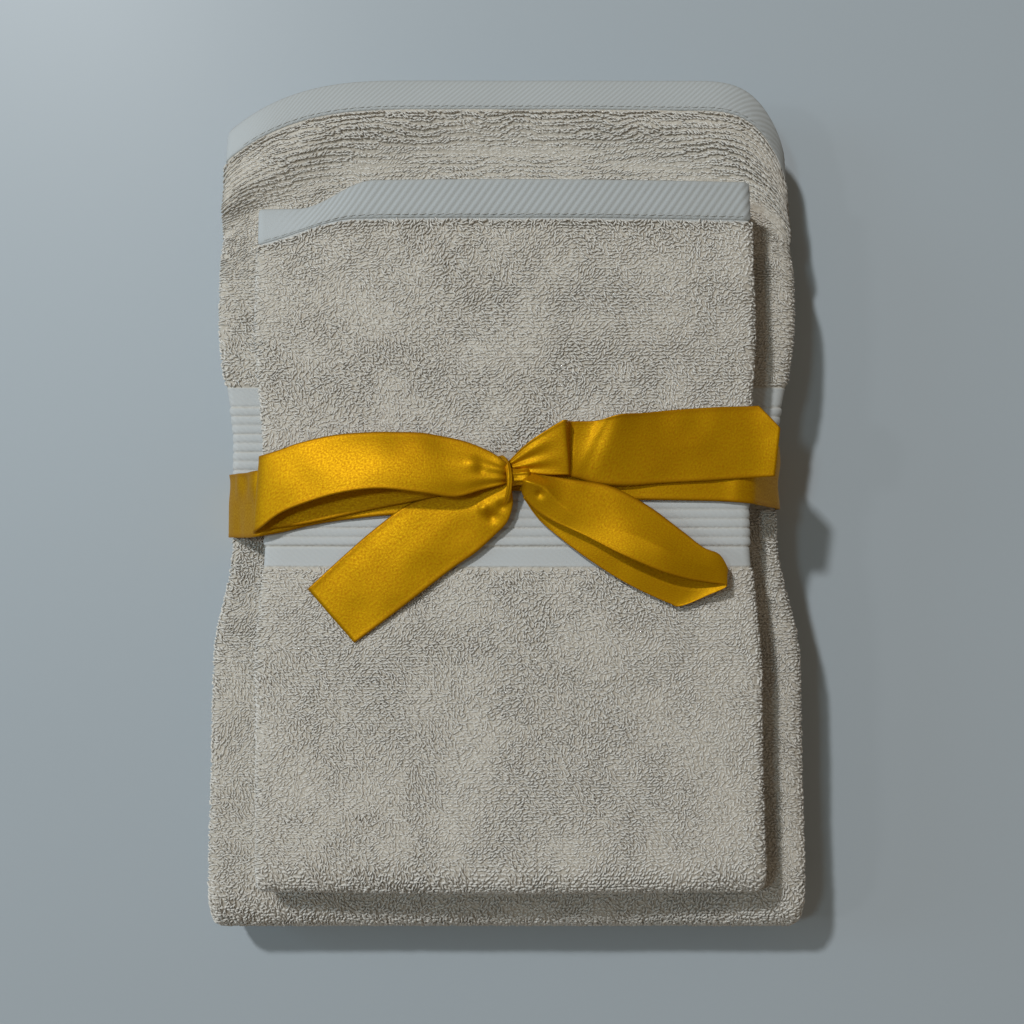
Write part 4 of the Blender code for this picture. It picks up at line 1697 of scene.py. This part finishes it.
        def arch(grow: float) -> Array:
            """Points of the arch, moved out by grow."""
            bulge = 0.5 * MM * (1 - wide**2) + pleat + grow
            y = y0 - 1.6 * MM + (9.0 * MM + bulge) * np.cos(turn)
            z = ground + 1.4 * MM + (7.2 * MM + bulge) * np.sin(turn)
            return np.stack(np.broadcast_arrays(lean + 1.0 * MM * wide, y, z), axis=-1)

        wrap = shell(arch(0.3 * MM), arch(-0.3 * MM))
        solid = joined([bridge, wrap])
        solid.tone *= 0
        return solid

    def build(self, finishes: "Finishes") -> None:
        """Makes every piece, hides the CAD solids that they replace, and attaches the band and the
        knot to the bundle.
        """
        joints = {joint["child"]: joint for joint in frame["joints"]}
        band, length = ribbon_piece("ribbon_wrap", self.band_grid(), finishes.satin)
        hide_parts("ribbon_band")
        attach(band, Body.BUNDLE.value)
        knot = add_piece("ribbon_tie", self.knot_solid(), finishes.satin)
        layer = knot.data.uv_layers.new(name=CLOTH_MAP)
        flat = np.zeros(len(knot.data.loops) * 2, np.float32)
        knot.data.uv_layers[MAP_NAME].data.foreach_get("uv", flat)
        layer.data.foreach_set("uv", flat * np.float32(RIBBON.width))
        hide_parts("ribbon_knot")
        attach(knot, Body.BUNDLE.value)
        loops = ((self.left_loop, Body.LOOP_LEFT), (self.right_loop, Body.LOOP_RIGHT))
        for strip, body in loops:
            piece, length = strip.build(finishes.satin)
            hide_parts(f"ribbon_{body.value}")
            self.hinge(piece, body, joints, 9 * MM)
            cut = (RIBBON.width, length)
            0.9 * cut[0] * cut[1]
        tails = ((self.left_tail, Body.TAIL_LEFT), (self.right_tail, Body.TAIL_RIGHT))
        for strip, body in tails:
            piece, length = strip.build(finishes.satin)
            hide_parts(f"ribbon_{body.value}", f"ribbon_{body.value}_base")
            self.hinge(piece, body, joints, 5 * MM)

    def hinge(self, piece: bpy.types.Object, body: Body, joints: dict, reach: float) -> None:
        """Bakes a piece's transform, after working out the direction from its body's joint to its free
        part.

        Args:
            piece: The ribbon piece.
            body: The body of its free part.
            joints: The record's joints by their child bodies.
            reach: Half of the length that bends; not used.
        """
        joint = joints[body.value]
        place = np.array(joint["pos_m"])
        low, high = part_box(f"ribbon_{body.value}")
        away = np.array(((low.x + high.x) / 2, (low.y + high.y) / 2, place[2])) - place
        axis = np.array(joint["axis"])
        away = away - axis * (away @ axis)
        away /= np.linalg.norm(away)
        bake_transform(piece)


# ------------------------------------------------------------------------------------------ studio


@dataclass
class Finishes:
    """One material for each finish, shared by the pieces that have it."""

    loops: bpy.types.Material
    ground: bpy.types.Material
    twill: bpy.types.Material
    thread: bpy.types.Material
    satin: bpy.types.Material

    @classmethod
    def made(cls) -> "Finishes":
        """Builds all of them."""
        return cls(
            TerryLoops().made("terry_loops"),
            TerryGround().made("terry_ground"),
            Twill().made("twill_hem"),
            Thread().made("hem_thread"),
            Satin().made("golden_satin"),
        )


@dataclass(frozen=True)
class Lamp:
    """A soft rectangular lamp that points at the middle of the set."""

    name: str
    place: Triple
    size: float
    power: float
    colour: Triple

    def hang(self) -> None:
        """Adds it."""
        light = bpy.data.lights.new(self.name, "AREA")
        light.size, light.energy, light.color = self.size, self.power, self.colour
        lamp = shown(self.name, light)
        x, y, z = self.place
        lamp.location = self.place
        lamp.rotation_euler = (math.atan2(math.hypot(x, y), z), 0, math.atan2(y, x) + math.pi / 2)


@dataclass
class Studio:
    """The table, the lamps and the camera, which looks straight down."""

    lamps: tuple[Lamp, ...] = (
        Lamp("key", (-0.92, 1.15, 2.0), 0.13, 30.5, (0.93, 0.97, 1.0)),
        Lamp("glare", (-0.72, 0.26, 2.0), 0.16, 4.2, (0.65, 0.88, 1.0)),
        Lamp("window", (-1.5, 0.3, 0.9), 0.6, 3.6, (0.55, 0.8, 1.0)),
        Lamp("second", (-1.5, 0.1, 1.7), 0.12, 2.0, (0.92, 0.96, 1.0)),
    )
    eye: Triple = (0.002, -0.002, 0.575)
    lens: float = 47.34
    sensor: float = 36.0
    table_half: float = 5.0
    sky: Triple = (1.0, 0.87, 0.7)
    sky_strength: float = 0.17

    def set_camera(self) -> None:
        """A camera straight above the set."""
        camera = shown("camera", bpy.data.cameras.new("camera"))
        camera.location = self.eye
        camera.data.lens, camera.data.sensor_width = self.lens, self.sensor
        bpy.context.scene.camera = camera

    def build(self) -> None:
        """Adds the table top, the lamps and a dim sky."""
        side = self.table_half
        corners = [(-side, -side, 0), (side, -side, 0), (side, side, 0), (-side, side, 0)]
        mesh = bpy.data.meshes.new("table_top")
        mesh.from_pydata(corners, [], [(0, 1, 2, 3)])
        table = shown("table_top", mesh)
        mesh.materials.append(TableTop().made("pale_table"))
        for lamp in self.lamps:
            lamp.hang()
        world = bpy.data.worlds.new("sky")
        world.use_nodes = True
        inputs = world.node_tree.nodes["Background"].inputs
        inputs["Color"].default_value = (*self.sky, 1)
        inputs["Strength"].default_value = self.sky_strength
        bpy.context.scene.world = world
        bpy.context.scene.view_settings.view_transform = "Standard"


def main() -> None:
    logging.basicConfig(level=logging.INFO, format="%(name)s %(message)s", stream=sys.stdout)
    studio = Studio()
    studio.set_camera()
    finishes = Finishes.made()
    BathTowel.laid().build(finishes)
    HandTowel.laid().build(finishes)
    Bow().build(finishes)
    studio.build()


if __name__ == "__main__":
    main()
